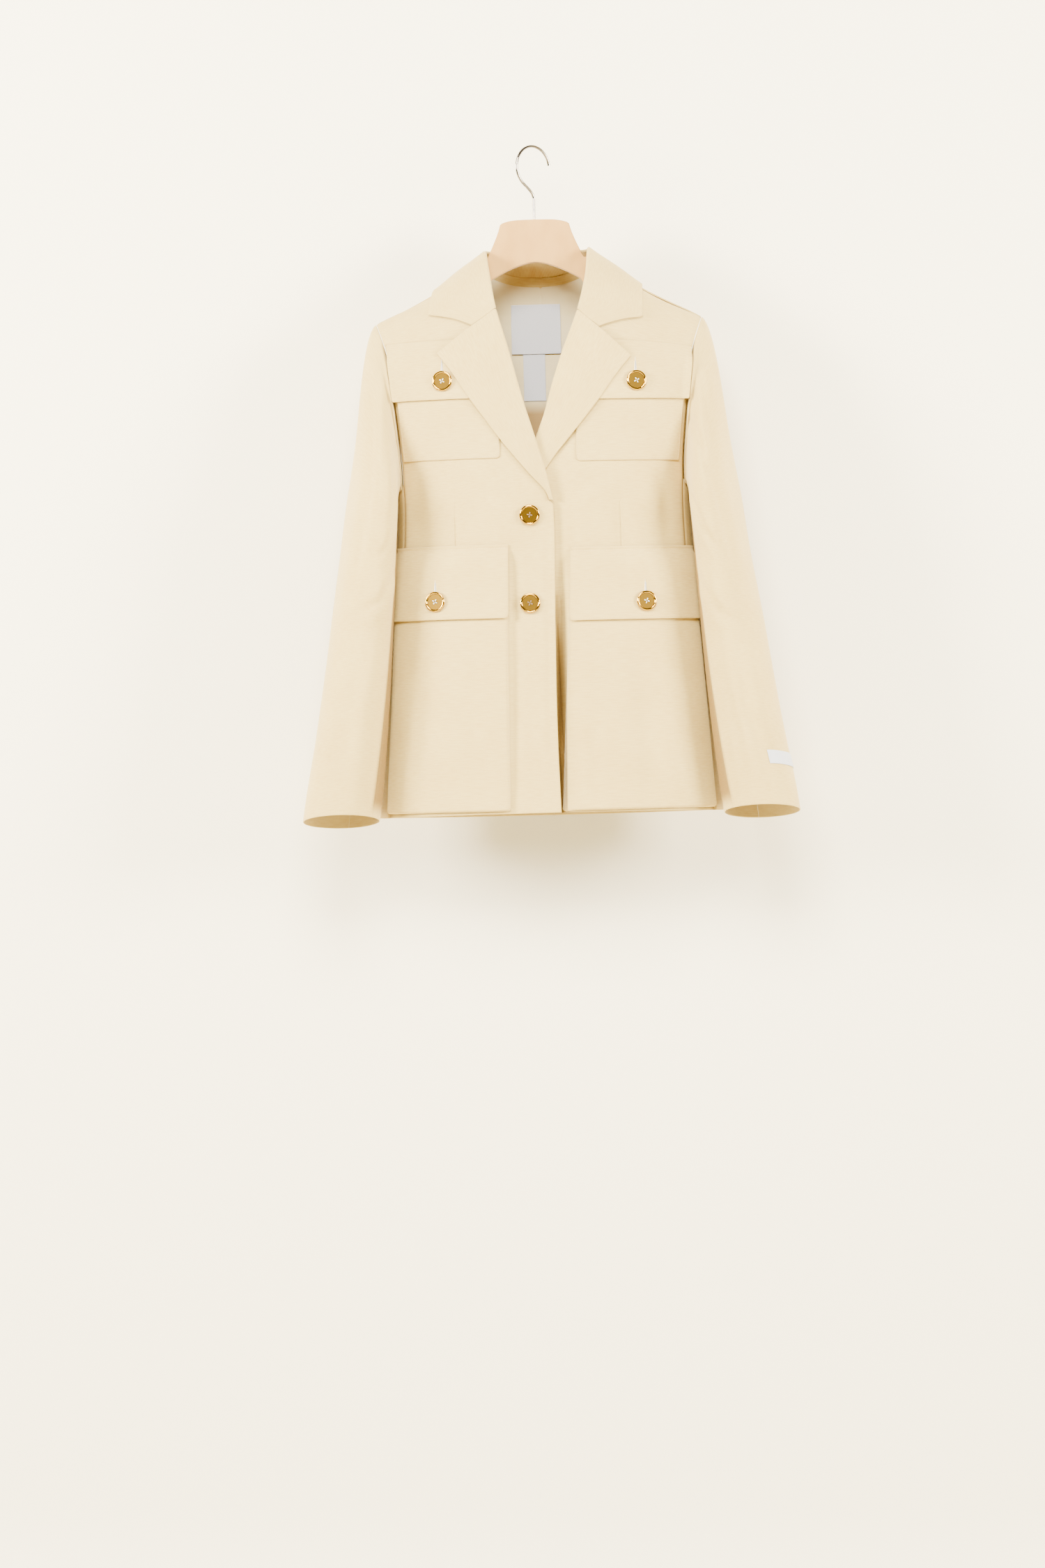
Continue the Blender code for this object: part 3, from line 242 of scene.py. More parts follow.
@dataclass(frozen=True)
class Relief:
    """All the folds of one region, with its slow unevenness.

    Attributes:
        creases: the folds.
        wave: height of the slow unevenness.
        seed: shifts the unevenness, so no two regions match.
    """

    creases: tuple[Crease, ...]
    wave: float = 0.0
    seed: float = 0.0

    def height(self, x: Array, z: Array) -> Array:
        """Height over the form at each place."""
        s = self.seed
        total = self.wave * (
            np.sin(17 * x + 9 * z + s) * np.sin(11 * z - 6 * x + 2 * s)
            + 0.5 * np.sin(41 * x - 13 * z + 3 * s) * np.sin(19 * z + 1.7 * s)
        )
        for crease in self.creases:
            total = total + crease.height(x, z)
        return total


def creases(*rows: tuple) -> tuple[Crease, ...]:
    """Creases from rows of depth and half width in mm, swell, then places (x, z) in metres."""
    return tuple(
        Crease(tuple(path), depth * MM, width * MM, swell) for depth, width, swell, *path in rows
    )


FLAT = Relief(())


# ---------------------------------------------------------------- the body form


class Section(NamedTuple):
    """Half sizes of the body form at one height."""

    z: float
    half_width: float
    front_depth: float
    back_depth: float


class YokeLine(NamedTuple):
    """The seam below a shoulder yoke: its height at the middle and its fall outwards."""

    z: float
    slope: float


@dataclass
class JacketForm:
    """The shape the whole jacket is cut from, and where its cuts run.

    The form is a superellipse at each height that closes onto the slope of the shoulders.

    Attributes:
        swing: the hem swings towards +X by this angle.
        shift: the jacket sits off the hanger's middle.
        seam: gap between two pieces that are sewn edge to edge.
        squareness: power of the superellipse.
        rise_height, rise_power: how far below the shoulder line it closes, and how bluntly.
        under_sink: the left front lies this far behind where they lap.
        sink_x, sink_z: where that starts and where it is full.
        gorge_z, break_z, edge_full_z: heights where a lapel starts, where its roll ends and
            where the front edge is reached.
        neck_x, neck_z: the neck at the shoulder.
        back_neck_drop: how much lower the neckline runs at the centre back.
        back_seam_x: where the centre back seam runs.
        tip_x, tip_z: the shoulder tip.
        underarm_z, underarm_dip: lowest point of the armhole, and the side panel's dip there.
        side_seam_share: of the half width, at the side seams.
        hem: height of the hem in front.
        side_drop, back_drop, round_drop: how much lower it hangs at the side panels, at the
            centre back and where front and back turn round the side.
        roll_radius, roll_stand: from the roll line to the fold, and the cloth behind it.
        level_step: for the slopes of the form.
    """

    swing: float = math.radians(1.5)
    shift: float = 2.4 * MM
    seam: float = 0.1 * MM
    squareness: float = 2.4
    rise_height: float = 0.110
    rise_power: float = 0.6
    under_sink: float = 6.4 * MM
    sink_x: tuple[float, float] = (0.045, 0.015)
    sink_z: tuple[float, float] = (-0.290, -0.350)
    gorge_z: float = -0.2040
    break_z: float = -0.4405
    edge_full_z: float = -0.4440
    neck_x: float = 0.0745
    neck_z: float = -0.1364
    back_neck_drop: float = 0.0186
    back_seam_x: float = 3.5 * MM
    tip_x: float = 0.201
    tip_z: float = -0.2145
    underarm_z: float = -0.415
    underarm_dip: float = 0.010
    side_seam_share: float = 0.940
    hem: float = -0.8225
    side_drop: float = 2.0 * MM
    back_drop: float = 4.0 * MM
    round_drop: float = 2.0 * MM
    level_step: float = 0.01 * MM
    roll_radius: float = 2.4 * MM
    roll_stand: float = 3.0 * MM
    sections: tuple[Section, ...] = (
        Section(-0.080, 0.222, 0.058, 0.060), Section(-0.250, 0.212, 0.066, 0.064),
        Section(-0.330, 0.200, 0.071, 0.066), Section(-0.415, 0.184, 0.074, 0.066),
        Section(-0.500, 0.185, 0.068, 0.062), Section(-0.600, 0.192, 0.071, 0.070),
        Section(-0.700, 0.201, 0.077, 0.078), Section(-0.822, 0.213, 0.084, 0.086),
    )
    shoulder: tuple[tuple[float, float], ...] = (
        (0.000, -0.0830), (0.030, -0.1000), (0.0625, -0.1270), (0.100, -0.1560), (0.128, -0.1765),
        (0.160, -0.1940), (0.184, -0.2055), (0.201, -0.2145), (0.220, -0.2250),
    )
    armhole: tuple[tuple[float, float], ...] = (
        (-0.2145, 0.2010), (-0.2350, 0.1940), (-0.2550, 0.1885), (-0.3000, 0.1825),
        (-0.3450, 0.1775), (-0.3850, 0.1740), (-0.4150, 0.1730),
    )
    yokes: dict[int, YokeLine] = field(
        default_factory=lambda: {RIGHT: YokeLine(-0.2375, 0.025), LEFT: YokeLine(-0.2385, 0.080)}
    )
    rolls: dict[int, tuple[tuple[float, float], ...]] = field(
        default_factory=lambda: {
            RIGHT: (
                (-0.1270, -0.0627), (-0.1600, -0.0590), (-0.2015, -0.0526), (-0.2570, -0.0377),
                (-0.3150, -0.0229), (-0.3635, -0.0087), (-0.4075, 0.0039), (-0.4405, 0.0112),
            ),
            LEFT: (
                (-0.1270, 0.0610), (-0.1650, 0.0570), (-0.2084, 0.0460), (-0.2586, 0.0267),
                (-0.2970, 0.0137), (-0.3353, 0.0023), (-0.3634, -0.0087), (-0.4000, -0.0220),
                (-0.4405, -0.0360),
            ),
        }
    )
    edges: dict[int, tuple[tuple[float, float], ...]] = field(
        default_factory=lambda: {
            RIGHT: (
                (-0.4440, 0.0112), (-0.4850, 0.0119), (-0.5950, 0.0100), (-0.7210, 0.0093),
                (-0.8225, 0.0114),
            ),
            LEFT: ((-0.4440, -0.0370), (-0.5000, -0.0460), (-0.6000, -0.0480), (-0.8225, -0.0500)),
        }
    )
    front_relief: Relief = FLAT
    back_relief: Relief = FLAT
    under_relief: Relief = FLAT

    def __post_init__(self) -> None:
        """Turn the tables into smooth functions."""
        self.half_width, self.front_depth, self.back_depth = (
            smooth([(s.z, s[k]) for s in self.sections]) for k in (1, 2, 3)
        )
        self.shoulder_height = smooth(self.shoulder)
        self.armhole_x = smooth(self.armhole)
        self.roll_x = {side: smooth(rows) for side, rows in self.rolls.items()}
        self.edge_x = {side: smooth(rows) for side, rows in self.edges.items()}

    def hang(self, points: Array) -> Array:
        """Move points from the jacket's own frame to where it hangs."""
        x, z = points[..., 0] + self.shift, points[..., 2]
        cos, sin = math.cos(self.swing), math.sin(self.swing)
        return stacked(x * cos - z * sin, points[..., 1], x * sin + z * cos)

    def shoulder_z(self, x: Array) -> Array:
        """Height of the shoulder line."""
        return self.shoulder_height(np.abs(x))

    def depth(self, z: Array, face: int) -> Array:
        """Depth of the form below the shoulders."""
        return self.front_depth(z) if face == FRONT else self.back_depth(z)

    def full_depth(self, x: Array, z: Array, face: int) -> Array:
        """Depth of the form at its middle, less where it closes onto the shoulder."""
        share = clamp((self.shoulder_z(x) - z) / self.rise_height)
        return self.depth(z, face) * (share * (2 - share)) ** self.rise_power

    def form_point(self, x: Array, z: Array, face: int) -> Array:
        """A point of the bare form."""
        across = np.minimum(np.abs(x / self.half_width(z)), 1.0)
        keep = (1 - across**self.squareness) ** (1 / self.squareness)
        return stacked(x, face * self.full_depth(x, z, face) * keep, z)

    def level(self, points: Array, face: int) -> Array:
        """Implicit function of the form; it grows outwards."""
        x, y, z = points[..., 0], points[..., 1], points[..., 2]
        deep = np.maximum(self.full_depth(x, z, face), 1e-7)
        wide = self.half_width(z)
        return np.abs(x / wide) ** self.squareness + np.abs(y / deep) ** self.squareness

    def form_normal(self, points: Array, face: int) -> Array:
        """Outward direction of the form."""
        step = self.level_step
        slopes = [
            self.level(points + axis, face) - self.level(points - axis, face)
            for axis in step * np.eye(3)
        ]
        normal = unit(stacked(*slopes))
        x = points[..., 0]
        fall = (self.shoulder_z(x + step) - self.shoulder_z(x - step)) / (2 * step)
        ridge = unit(stacked(-fall, 0.0, np.ones_like(fall)))
        on_ridge = (self.shoulder_z(x) - points[..., 2] < 4 * step)[..., None]
        return np.where(on_ridge, ridge, normal)

    def on_body(self, x: Array, z: Array, face: int, out: Array = 0.0) -> Array:
        """A point of the front or the back, at a height over the form with its folds."""
        x, z, out = arrays(x, z, out)
        z = np.minimum(z, self.shoulder_z(x))
        relief = self.front_relief if face == FRONT else self.back_relief
        point = self.form_point(x, z, face)
        point = point + self.form_normal(point, face) * (out + relief.height(x, z))[..., None]
        point[..., 1] += face * self.seam / 2
        return point

    def sink(self, side: int, x: Array, z: Array) -> Array:
        """How far the left front lies behind the form, under the right one."""
        if side == RIGHT:
            return np.zeros(np.shape(x))
        across = smoothstep((self.sink_x[0] - x) / (self.sink_x[0] - self.sink_x[1]))
        down = smoothstep((self.sink_z[0] - z) / (self.sink_z[0] - self.sink_z[1]))
        return self.under_sink * across * down - self.under_relief.height(x, z)

    def on_front(self, side: int, x: Array, z: Array, out: Array = 0.0) -> Array:
        """A point of one front, at a height over it."""
        return self.on_body(x, z, FRONT, out - self.sink(side, x, z))

    def on_ring(self, side: int, y: Array, z: Array, out: Array) -> Array:
        """A point of the form's side, from its place across the depth."""
        y, z, out = arrays(y, z, out)
        depth = np.where(y < 0, self.front_depth(z), self.back_depth(z))
        keep = 1 - np.minimum(np.abs(y) / depth, 1.0) ** self.squareness
        x = side * self.half_width(z) * keep ** (1 / self.squareness)
        point = stacked(x, y, z)
        front, back = self.form_normal(point, FRONT), self.form_normal(point, BACK)
        normal = np.where((y < 0)[..., None], front, back)
        front, back = self.front_relief.height(x, z), self.back_relief.height(x, z)
        height = np.where(y < 0, front, back)
        fade = smoothstep(np.abs(y) / (0.6 * depth))
        return point + normal * (out + height * fade)[..., None]

    def outer_x(self, z: Array) -> Array:
        """Armhole, then side seam."""
        z = np.asarray(z, float)
        below = self.side_seam_share * self.half_width(z)
        return np.where(z >= self.underarm_z, self.armhole_x(z), below)

    def seam_y(self, z: Array, face: int) -> Array:
        """Depth at which the side seam runs."""
        across = np.minimum(self.outer_x(z) / self.half_width(z), 1.0)
        return face * self.depth(z, face) * (1 - across**self.squareness) ** (1 / self.squareness)

    def hem_z(self, x: Array, face: int) -> Array:
        """Height of the hem; the back hangs a little lower than the front."""
        share = (np.abs(x) / self.half_width(self.hem)) ** 2
        if face == FRONT:
            return self.hem - self.round_drop * share
        return self.hem - lerp(self.back_drop, self.round_drop, share)

    def inner_x(self, side: int, z: Array) -> Array:
        """A front's own edge: neck, then just behind the roll, then the front edge."""
        z = np.asarray(z, float)
        behind_roll = self.roll_x[side](z) + side * (self.roll_radius + self.roll_stand)
        share = smoothstep((z - self.gorge_z) / (self.neck_z - self.gorge_z))
        above = lerp(behind_roll, side * self.neck_x, share)
        down = clamp((self.break_z - z) / (self.break_z - self.edge_full_z))
        below = lerp(behind_roll, self.edge_x[side](z), down)
        return np.where(z > self.gorge_z, above, below)

    def yoke_z(self, side: int, x: Array) -> Array:
        """Height of the yoke seam."""
        return self.yokes[side].z - self.yokes[side].slope * np.abs(x)

    def underarm(self, y: Array) -> Array:
        """Top edge of the side panel, between the two side seams."""
        low, high = (self.seam_y(self.underarm_z, face) for face in (FRONT, BACK))
        from_middle = (y - (low + high) / 2) / ((high - low) / 2)
        return self.underarm_z - self.underarm_dip * (1 - from_middle**2)

    def back_top(self, x: Array) -> Array:
        """Back neckline near the middle, then the shoulder seam."""
        share = np.minimum(np.abs(x) / self.neck_x, 1.0)
        neck = self.neck_z - self.back_neck_drop * (1 - share**2.2)
        return np.where(np.abs(x) >= self.neck_x, self.shoulder_z(x), neck)

    def slide_of(self, x: Array, z: Array, face: int) -> Array:
        """Signed slide down from the shoulder line; steady across the ridge."""
        drop = np.maximum(self.shoulder_z(x) - z, 0.0)
        return -face * np.sqrt(drop / self.rise_height)

    def on_neck(self, x: Array, slide: Array, out: Array) -> Array:
        """A point near the neck, from its place across and its slide."""
        z = self.shoulder_z(x) - self.rise_height * slide**2
        ahead = self.on_body(x, z, FRONT, out)
        behind = self.on_body(x, z, BACK, out)
        return np.where((np.asarray(slide) >= 0)[..., None], ahead, behind)


# ---------------------------------------------------------------- colours and finishes


def srgb(code: str) -> tuple[float, float, float, float]:
    """Linear colour of an sRGB hex code.

    Args:
        code: six hex digits.

    Returns:
        Linear red, green, blue and an alpha of 1.
    """
    values = [int(code[i : i + 2], 16) / 255 for i in (0, 2, 4)]
    linear = [v / 12.92 if v <= 0.04045 else ((v + 0.055) / 1.055) ** 2.4 for v in values]
    return (linear[0], linear[1], linear[2], 1.0)


class Graph:
    """A material's node tree, with one short way to add and wire a node."""

    def __init__(self, name: str) -> None:
        """Start a material of this name with a bare Principled shader."""
        self.material = bpy.data.materials.new(name)
        self.material.use_nodes = True
        self.tree = self.material.node_tree
        self.shader = self.tree.nodes["Principled BSDF"]

    def node(
        self, kind: str, settings: dict[str, object] | None = None, **inputs: object
    ) -> bpy.types.Node:
        """Add a node.

        Args:
            kind: the node's type.
            settings: its own properties.
            inputs: socket names, with _ for a space, to a value or an output socket.

        Returns:
            The node.
        """
        made = self.tree.nodes.new(kind)
        for key, value in (settings or {}).items():
            setattr(made, key, value)
        for key, value in inputs.items():
            self.feed(made.inputs[key.replace("_", " ")], value)
        return made

    def feed(self, socket: bpy.types.NodeSocket, value: object) -> None:
        """Wire an output to a socket, or set its value."""
        if isinstance(value, bpy.types.NodeSocket):
            self.tree.links.new(value, socket)
        else:
            socket.default_value = value

    def math(self, operation: str, a: object, b: object = 0.0) -> bpy.types.NodeSocket:
        """Add a math node and give its output."""
        made = self.tree.nodes.new("ShaderNodeMath")
        made.operation = operation
        self.feed(made.inputs[0], a)
        self.feed(made.inputs[1], b)
        return made.outputs[0]

    def ramp(
        self, factor: object, to_low: float, to_high: float, low: float = 0.3, high: float = 0.7
    ) -> bpy.types.NodeSocket:
        """Map the range low to high of a value to another, clamped; noise fills 0.3 to 0.7."""
        made = self.tree.nodes.new("ShaderNodeMapRange")
        for socket, value in zip(made.inputs, (factor, low, high, to_low, to_high)):
            self.feed(socket, value)
        return made.outputs[0]

    def mix(self, factor: object, a: object, b: object) -> bpy.types.NodeSocket:
        """Blend two colours."""
        made = self.tree.nodes.new("ShaderNodeMix")
        made.data_type = "RGBA"
        self.feed(made.inputs[0], factor)
        self.feed(made.inputs[6], a)
        self.feed(made.inputs[7], b)
        return made.outputs[2]

    def noise(self, vector: object, size: float, detail: float = 2.0) -> bpy.types.NodeSocket:
        """Add noise whose features are about size metres across."""
        made = self.node("ShaderNodeTexNoise", Vector=vector, Scale=1.0 / size, Detail=detail)
        return made.outputs[0]

    def stretched(self, vector: object, scale: tuple[float, float, float]) -> bpy.types.NodeSocket:
        """Scale coordinates along each axis."""
        return self.node("ShaderNodeMapping", Vector=vector, Scale=scale).outputs[0]

    def bumped(self, height: object, strength: float, distance: float) -> None:
        """Put a bump of this height on the shader, with distance in metres."""
        made = self.node("ShaderNodeBump", Height=height, Strength=strength, Distance=distance)
        self.feed(self.shader.inputs["Normal"], made.outputs[0])

    def set(self, **inputs: object) -> None:
        """Set the shader's sockets, with _ for a space."""
        for key, value in inputs.items():
            self.feed(self.shader.inputs[key.replace("_", " ")], value)


@dataclass(frozen=True)
class Twill:
    """Wool and cotton twill, piece dyed cream, pressed flat.

    Attributes:
        colour: sRGB hex of the cloth in soft light.
        shade: the same in the hollows between its yarns.
        pitch: distance between two twill ribs.
        nap: weight of the short fibres that catch light at grazing angles.
        deep: sRGB hex of painted shade in crevices, where two pieces nearly meet and the cloth only
            lights itself.
    """

    colour: str = "C2A965"
    shade: str = "9F7F3A"
    pitch: float = 0.9 * MM
    nap: float = 0.35
    deep: str = "6A4E1C"

    def build(self, name: str) -> bpy.types.Material:
        """Make the material; its UV map is in metres across and along the cut piece."""
        g = Graph(name)
        place = g.node("ShaderNodeUVMap").outputs[0]
        parts = g.node("ShaderNodeSeparateXYZ", Vector=place)
        across, along = parts.outputs[0], parts.outputs[1]
        wander = g.math("MULTIPLY", g.noise(place, 9 * MM), 0.5 * self.pitch)
        slant = g.math("ADD", g.math("MULTIPLY", across, 0.42), g.math("ADD", along, wander))
        rib = g.math("SINE", g.math("MULTIPLY", slant, 2 * math.pi / self.pitch))
        slub = g.noise(g.stretched(place, (0.14, 1.0, 1.0)), 1.5 * MM, 3.0)
        slow = g.noise(place, 60 * MM, 2.0)
        yarn = g.math("ADD", g.math("MULTIPLY", rib, 0.30), slub)
        tone = g.ramp(yarn, 0.0, 0.50, 0.20, 0.80)
        tone = g.math("ADD", tone, g.ramp(slow, 0.0, 0.16))
        cloth = g.mix(tone, srgb(self.colour), srgb(self.shade))
        # painted shade: the cloth is mixed towards deep, and loses its sheen, as far as the
        # attribute says
        painted_shade = g.node("ShaderNodeAttribute", {"attribute_name": PAINTED_SHADE}).outputs["Fac"]
        g.set(
            Base_Color=g.mix(painted_shade, cloth, srgb(self.deep)),
            Roughness=g.ramp(slub, 0.78, 0.92),
            Sheen_Weight=g.ramp(painted_shade, self.nap, 0.0, 0.0, 0.6),
            Sheen_Roughness=0.45,
            Sheen_Tint=srgb("FFF0CC"),
            Specular_IOR_Level=0.22,
        )
        g.bumped(yarn, 0.45, 0.16 * MM)
        return g.material


@dataclass(frozen=True)
class Satin:
    """Viscose satin, calendered, with floats along the piece.

    Attributes:
        colour: sRGB hex of the cloth.
        deep: sRGB hex of painted shade on its lower part, blended in between the heights
            painted_shade_from and painted_shade_to.
        roughness: how wide its highlight is.
        pitch: distance between two floats.
    """

    colour: str = "CBB988"
    deep: str = "8A6C36"
    painted_shade_from: float = 0.112
    painted_shade_to: float = 0.094
    roughness: float = 0.38
    pitch: float = 0.35 * MM

    def build(self, name: str) -> bpy.types.Material:
        """Make the material."""
        g = Graph(name)
        place = g.node("ShaderNodeUVMap").outputs[0]
        floats = g.noise(g.stretched(place, (1.0, 0.05, 1.0)), self.pitch, 2.0)
        slow = g.noise(place, 25 * MM, 2.0)
        light = g.mix(g.ramp(slow, 0.0, 0.25), srgb(self.colour), srgb("AD9566"))
        # painted shade: the lower lining is darkened towards deep
        along = g.node("ShaderNodeSeparateXYZ", Vector=place).outputs[1]
        lower = g.ramp(along, 1.0, 0.0, self.painted_shade_to, self.painted_shade_from)
        light = g.mix(lower, light, srgb(self.deep))
        g.set(
            Base_Color=light,
            Roughness=g.ramp(floats, self.roughness, self.roughness + 0.12),
            Anisotropic=0.5,
            Sheen_Weight=0.15,
            Specular_IOR_Level=0.55,
        )
        g.bumped(floats, 0.12, 0.05 * MM)
        return g.material


@dataclass(frozen=True)
class WovenLabel:
    """Polyester label satin, damask woven and heat cut."""

    colour: str = "B3B1AF"

    def build(self, name: str) -> bpy.types.Material:
        """Make the material."""
        g = Graph(name)
        place = g.node("ShaderNodeUVMap").outputs[0]
        picks = g.noise(g.stretched(place, (0.2, 1.0, 1.0)), 0.5 * MM, 2.0)
        g.set(
            Base_Color=g.mix(g.ramp(picks, 0.0, 0.5), srgb(self.colour), srgb("A2A1A1")),
            Roughness=0.55,
            Sheen_Weight=0.2,
            Specular_IOR_Level=0.4,
        )
        g.bumped(picks, 0.2, 0.06 * MM)
        return g.material


@dataclass(frozen=True)
class Flock:
    """Nylon flock, blown onto a moulded board: short upright fibres."""

    colour: str = "B38A4C"
    fibre: float = 0.5 * MM

    def build(self, name: str) -> bpy.types.Material:
        """Make the material."""
        g = Graph(name)
        place = g.node("ShaderNodeTexCoord").outputs["Object"]
        pile = g.noise(place, self.fibre, 3.0)
        stroke = g.noise(g.stretched(place, (1.0, 1.0, 0.5)), 18 * MM, 2.0)
        tone = g.math("ADD", g.ramp(pile, 0.0, 0.5), g.ramp(stroke, 0.0, 0.3, 0.35, 0.65))
        g.set(
            Base_Color=g.mix(tone, srgb(self.colour), srgb("9C7038")),
            Roughness=0.95,
            Sheen_Weight=0.4,
            Sheen_Roughness=0.35,
            Sheen_Tint=srgb("FFE3BC"),
            Specular_IOR_Level=0.1,
        )
        g.bumped(pile, 0.5, 0.15 * MM)
        return g.material


@dataclass(frozen=True)
class Plated:
    """Zinc or steel with a plated skin.

    Attributes:
        colour: sRGB hex of the plating.
        roughness: of its surface.
        brushed: strength of the fine turning marks, 0 for none.
    """

    colour: str
    roughness: float
    brushed: float = 0.0

    def build(self, name: str) -> bpy.types.Material:
        """Make the material."""
        g = Graph(name)
        place = g.node("ShaderNodeTexCoord").outputs["Object"]
        grain = g.noise(place, 0.6 * MM, 2.0)
        g.set(
            Base_Color=srgb(self.colour),
            Metallic=1.0,
            Roughness=g.ramp(grain, self.roughness, self.roughness + 0.06),
        )
        if self.brushed:
            g.bumped(grain, self.brushed, 0.04 * MM)
        return g.material


@dataclass(frozen=True)
class Thread:
    """Spun polyester sewing thread, two plies."""

    colour: str

    def build(self, name: str) -> bpy.types.Material:
        """Make the material."""
        g = Graph(name)
        place = g.node("ShaderNodeTexCoord").outputs["Object"]
        ply = g.noise(place, 0.3 * MM, 1.0)
        g.set(Base_Color=srgb(self.colour), Roughness=0.7, Sheen_Weight=0.3)
        g.bumped(ply, 0.3, 0.06 * MM)
        return g.material


class Finish(Enum):
    """Each finish with the record's slot it takes its place in."""

    CLOTH = ("piece_dyed_twill", "jacket_cloth", Twill())
    LINING = ("calendered_satin", "lining_satin", Satin())
    LABEL = ("damask_label", "label_satin", WovenLabel())
    FLOCK = ("nylon_flock", "flocked_board", Flock())
    GOLD_RIM = ("polished_gold_plate", "gold_metal", Plated("BE9434", 0.09))
    # the well's gold is darker than the rim's: painted shade, darkening the reflection the well
    # shows
    GOLD_WELL = ("satin_gold_plate", "gold_metal", Plated("674C12", 0.38, 0.25))
    CHROME = ("chrome_plate", "chrome_wire", Plated("857C70", 0.12))
    STITCH = ("spun_thread_cream", "jacket_cloth", Thread("C0A668"))
    HOLE = ("spun_thread_white", "jacket_cloth", Thread("D8D2C2"))
    SHANK = ("spun_thread_gold", "gold_metal", Thread("CFC6AE"))
    SHANK_DARK = ("spun_thread_brown", "gold_metal", Thread("6E5024"))
    # dark thread as painted shade, for the shade in a buttonhole's slit and between a button's
    # holes
    PAINTED_SHADE_THREAD = ("dark_thread_painted_shade", "jacket_cloth", Thread("54401F"))

    def material(self) -> bpy.types.Material:
        """The one material of this finish."""
        return bpy.data.materials.get(self.value[0]) or self.value[2].build(self.value[0])


# ---------------------------------------------------------------- making pieces


def placed(name: str, data: bpy.types.ID) -> bpy.types.Object:
    """Make an object of this data and put it in the scene."""
    made = bpy.data.objects.new(name, data)
    bpy.context.scene.collection.objects.link(made)
    return made


def mesh_of(bm: bmesh.types.BMesh, name: str, sharp: float | None = None) -> bpy.types.Mesh:
    """Turn a finished bmesh into a smooth mesh.

    Args:
        bm: the bmesh, freed here.
        name: the mesh's name.
        sharp: edges that bend by more than this many degrees stay sharp.

    Returns:
        The mesh.
    """
    mesh = bpy.data.meshes.new(name)
    bm.to_mesh(mesh)
    bm.free()
    mesh.shade_smooth()
    if sharp:
        mesh.set_sharp_from_angle(angle=math.radians(sharp))
    return mesh


def keep(
    mesh: bpy.types.Mesh, name: str, finish: Finish, nodes: Sequence[str] = ()
) -> bpy.types.Object:
    """Make a piece of a mesh that is already in place.

    Args:
        mesh: its mesh, in the row frame.
        name: the piece's name.
        finish: what it is made of.
        nodes: the CAD nodes it stands for.

    Returns:
        The object, riding on the one body.
    """
    if not mesh.materials:
        mesh.materials.append(finish.material())
    made = placed(name, mesh)
    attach(made, BODY)
    if nodes:
        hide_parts(*nodes)
    log.info("%s: %d faces", name, len(mesh.polygons))
    return made


class Cut(NamedTuple):
    """A piece's cut: width and length of its flat pattern, and its area if not a rectangle."""

    width: float
    length: float
    area: float | None
    held: str
    rests_on: tuple[str, ...]


def cut(width: float, length: float, area: float | None, *rests_on: str, held: str = "hung") -> Cut:
    """Short way to state a cut."""
    return Cut(width, length, area, held, rests_on)


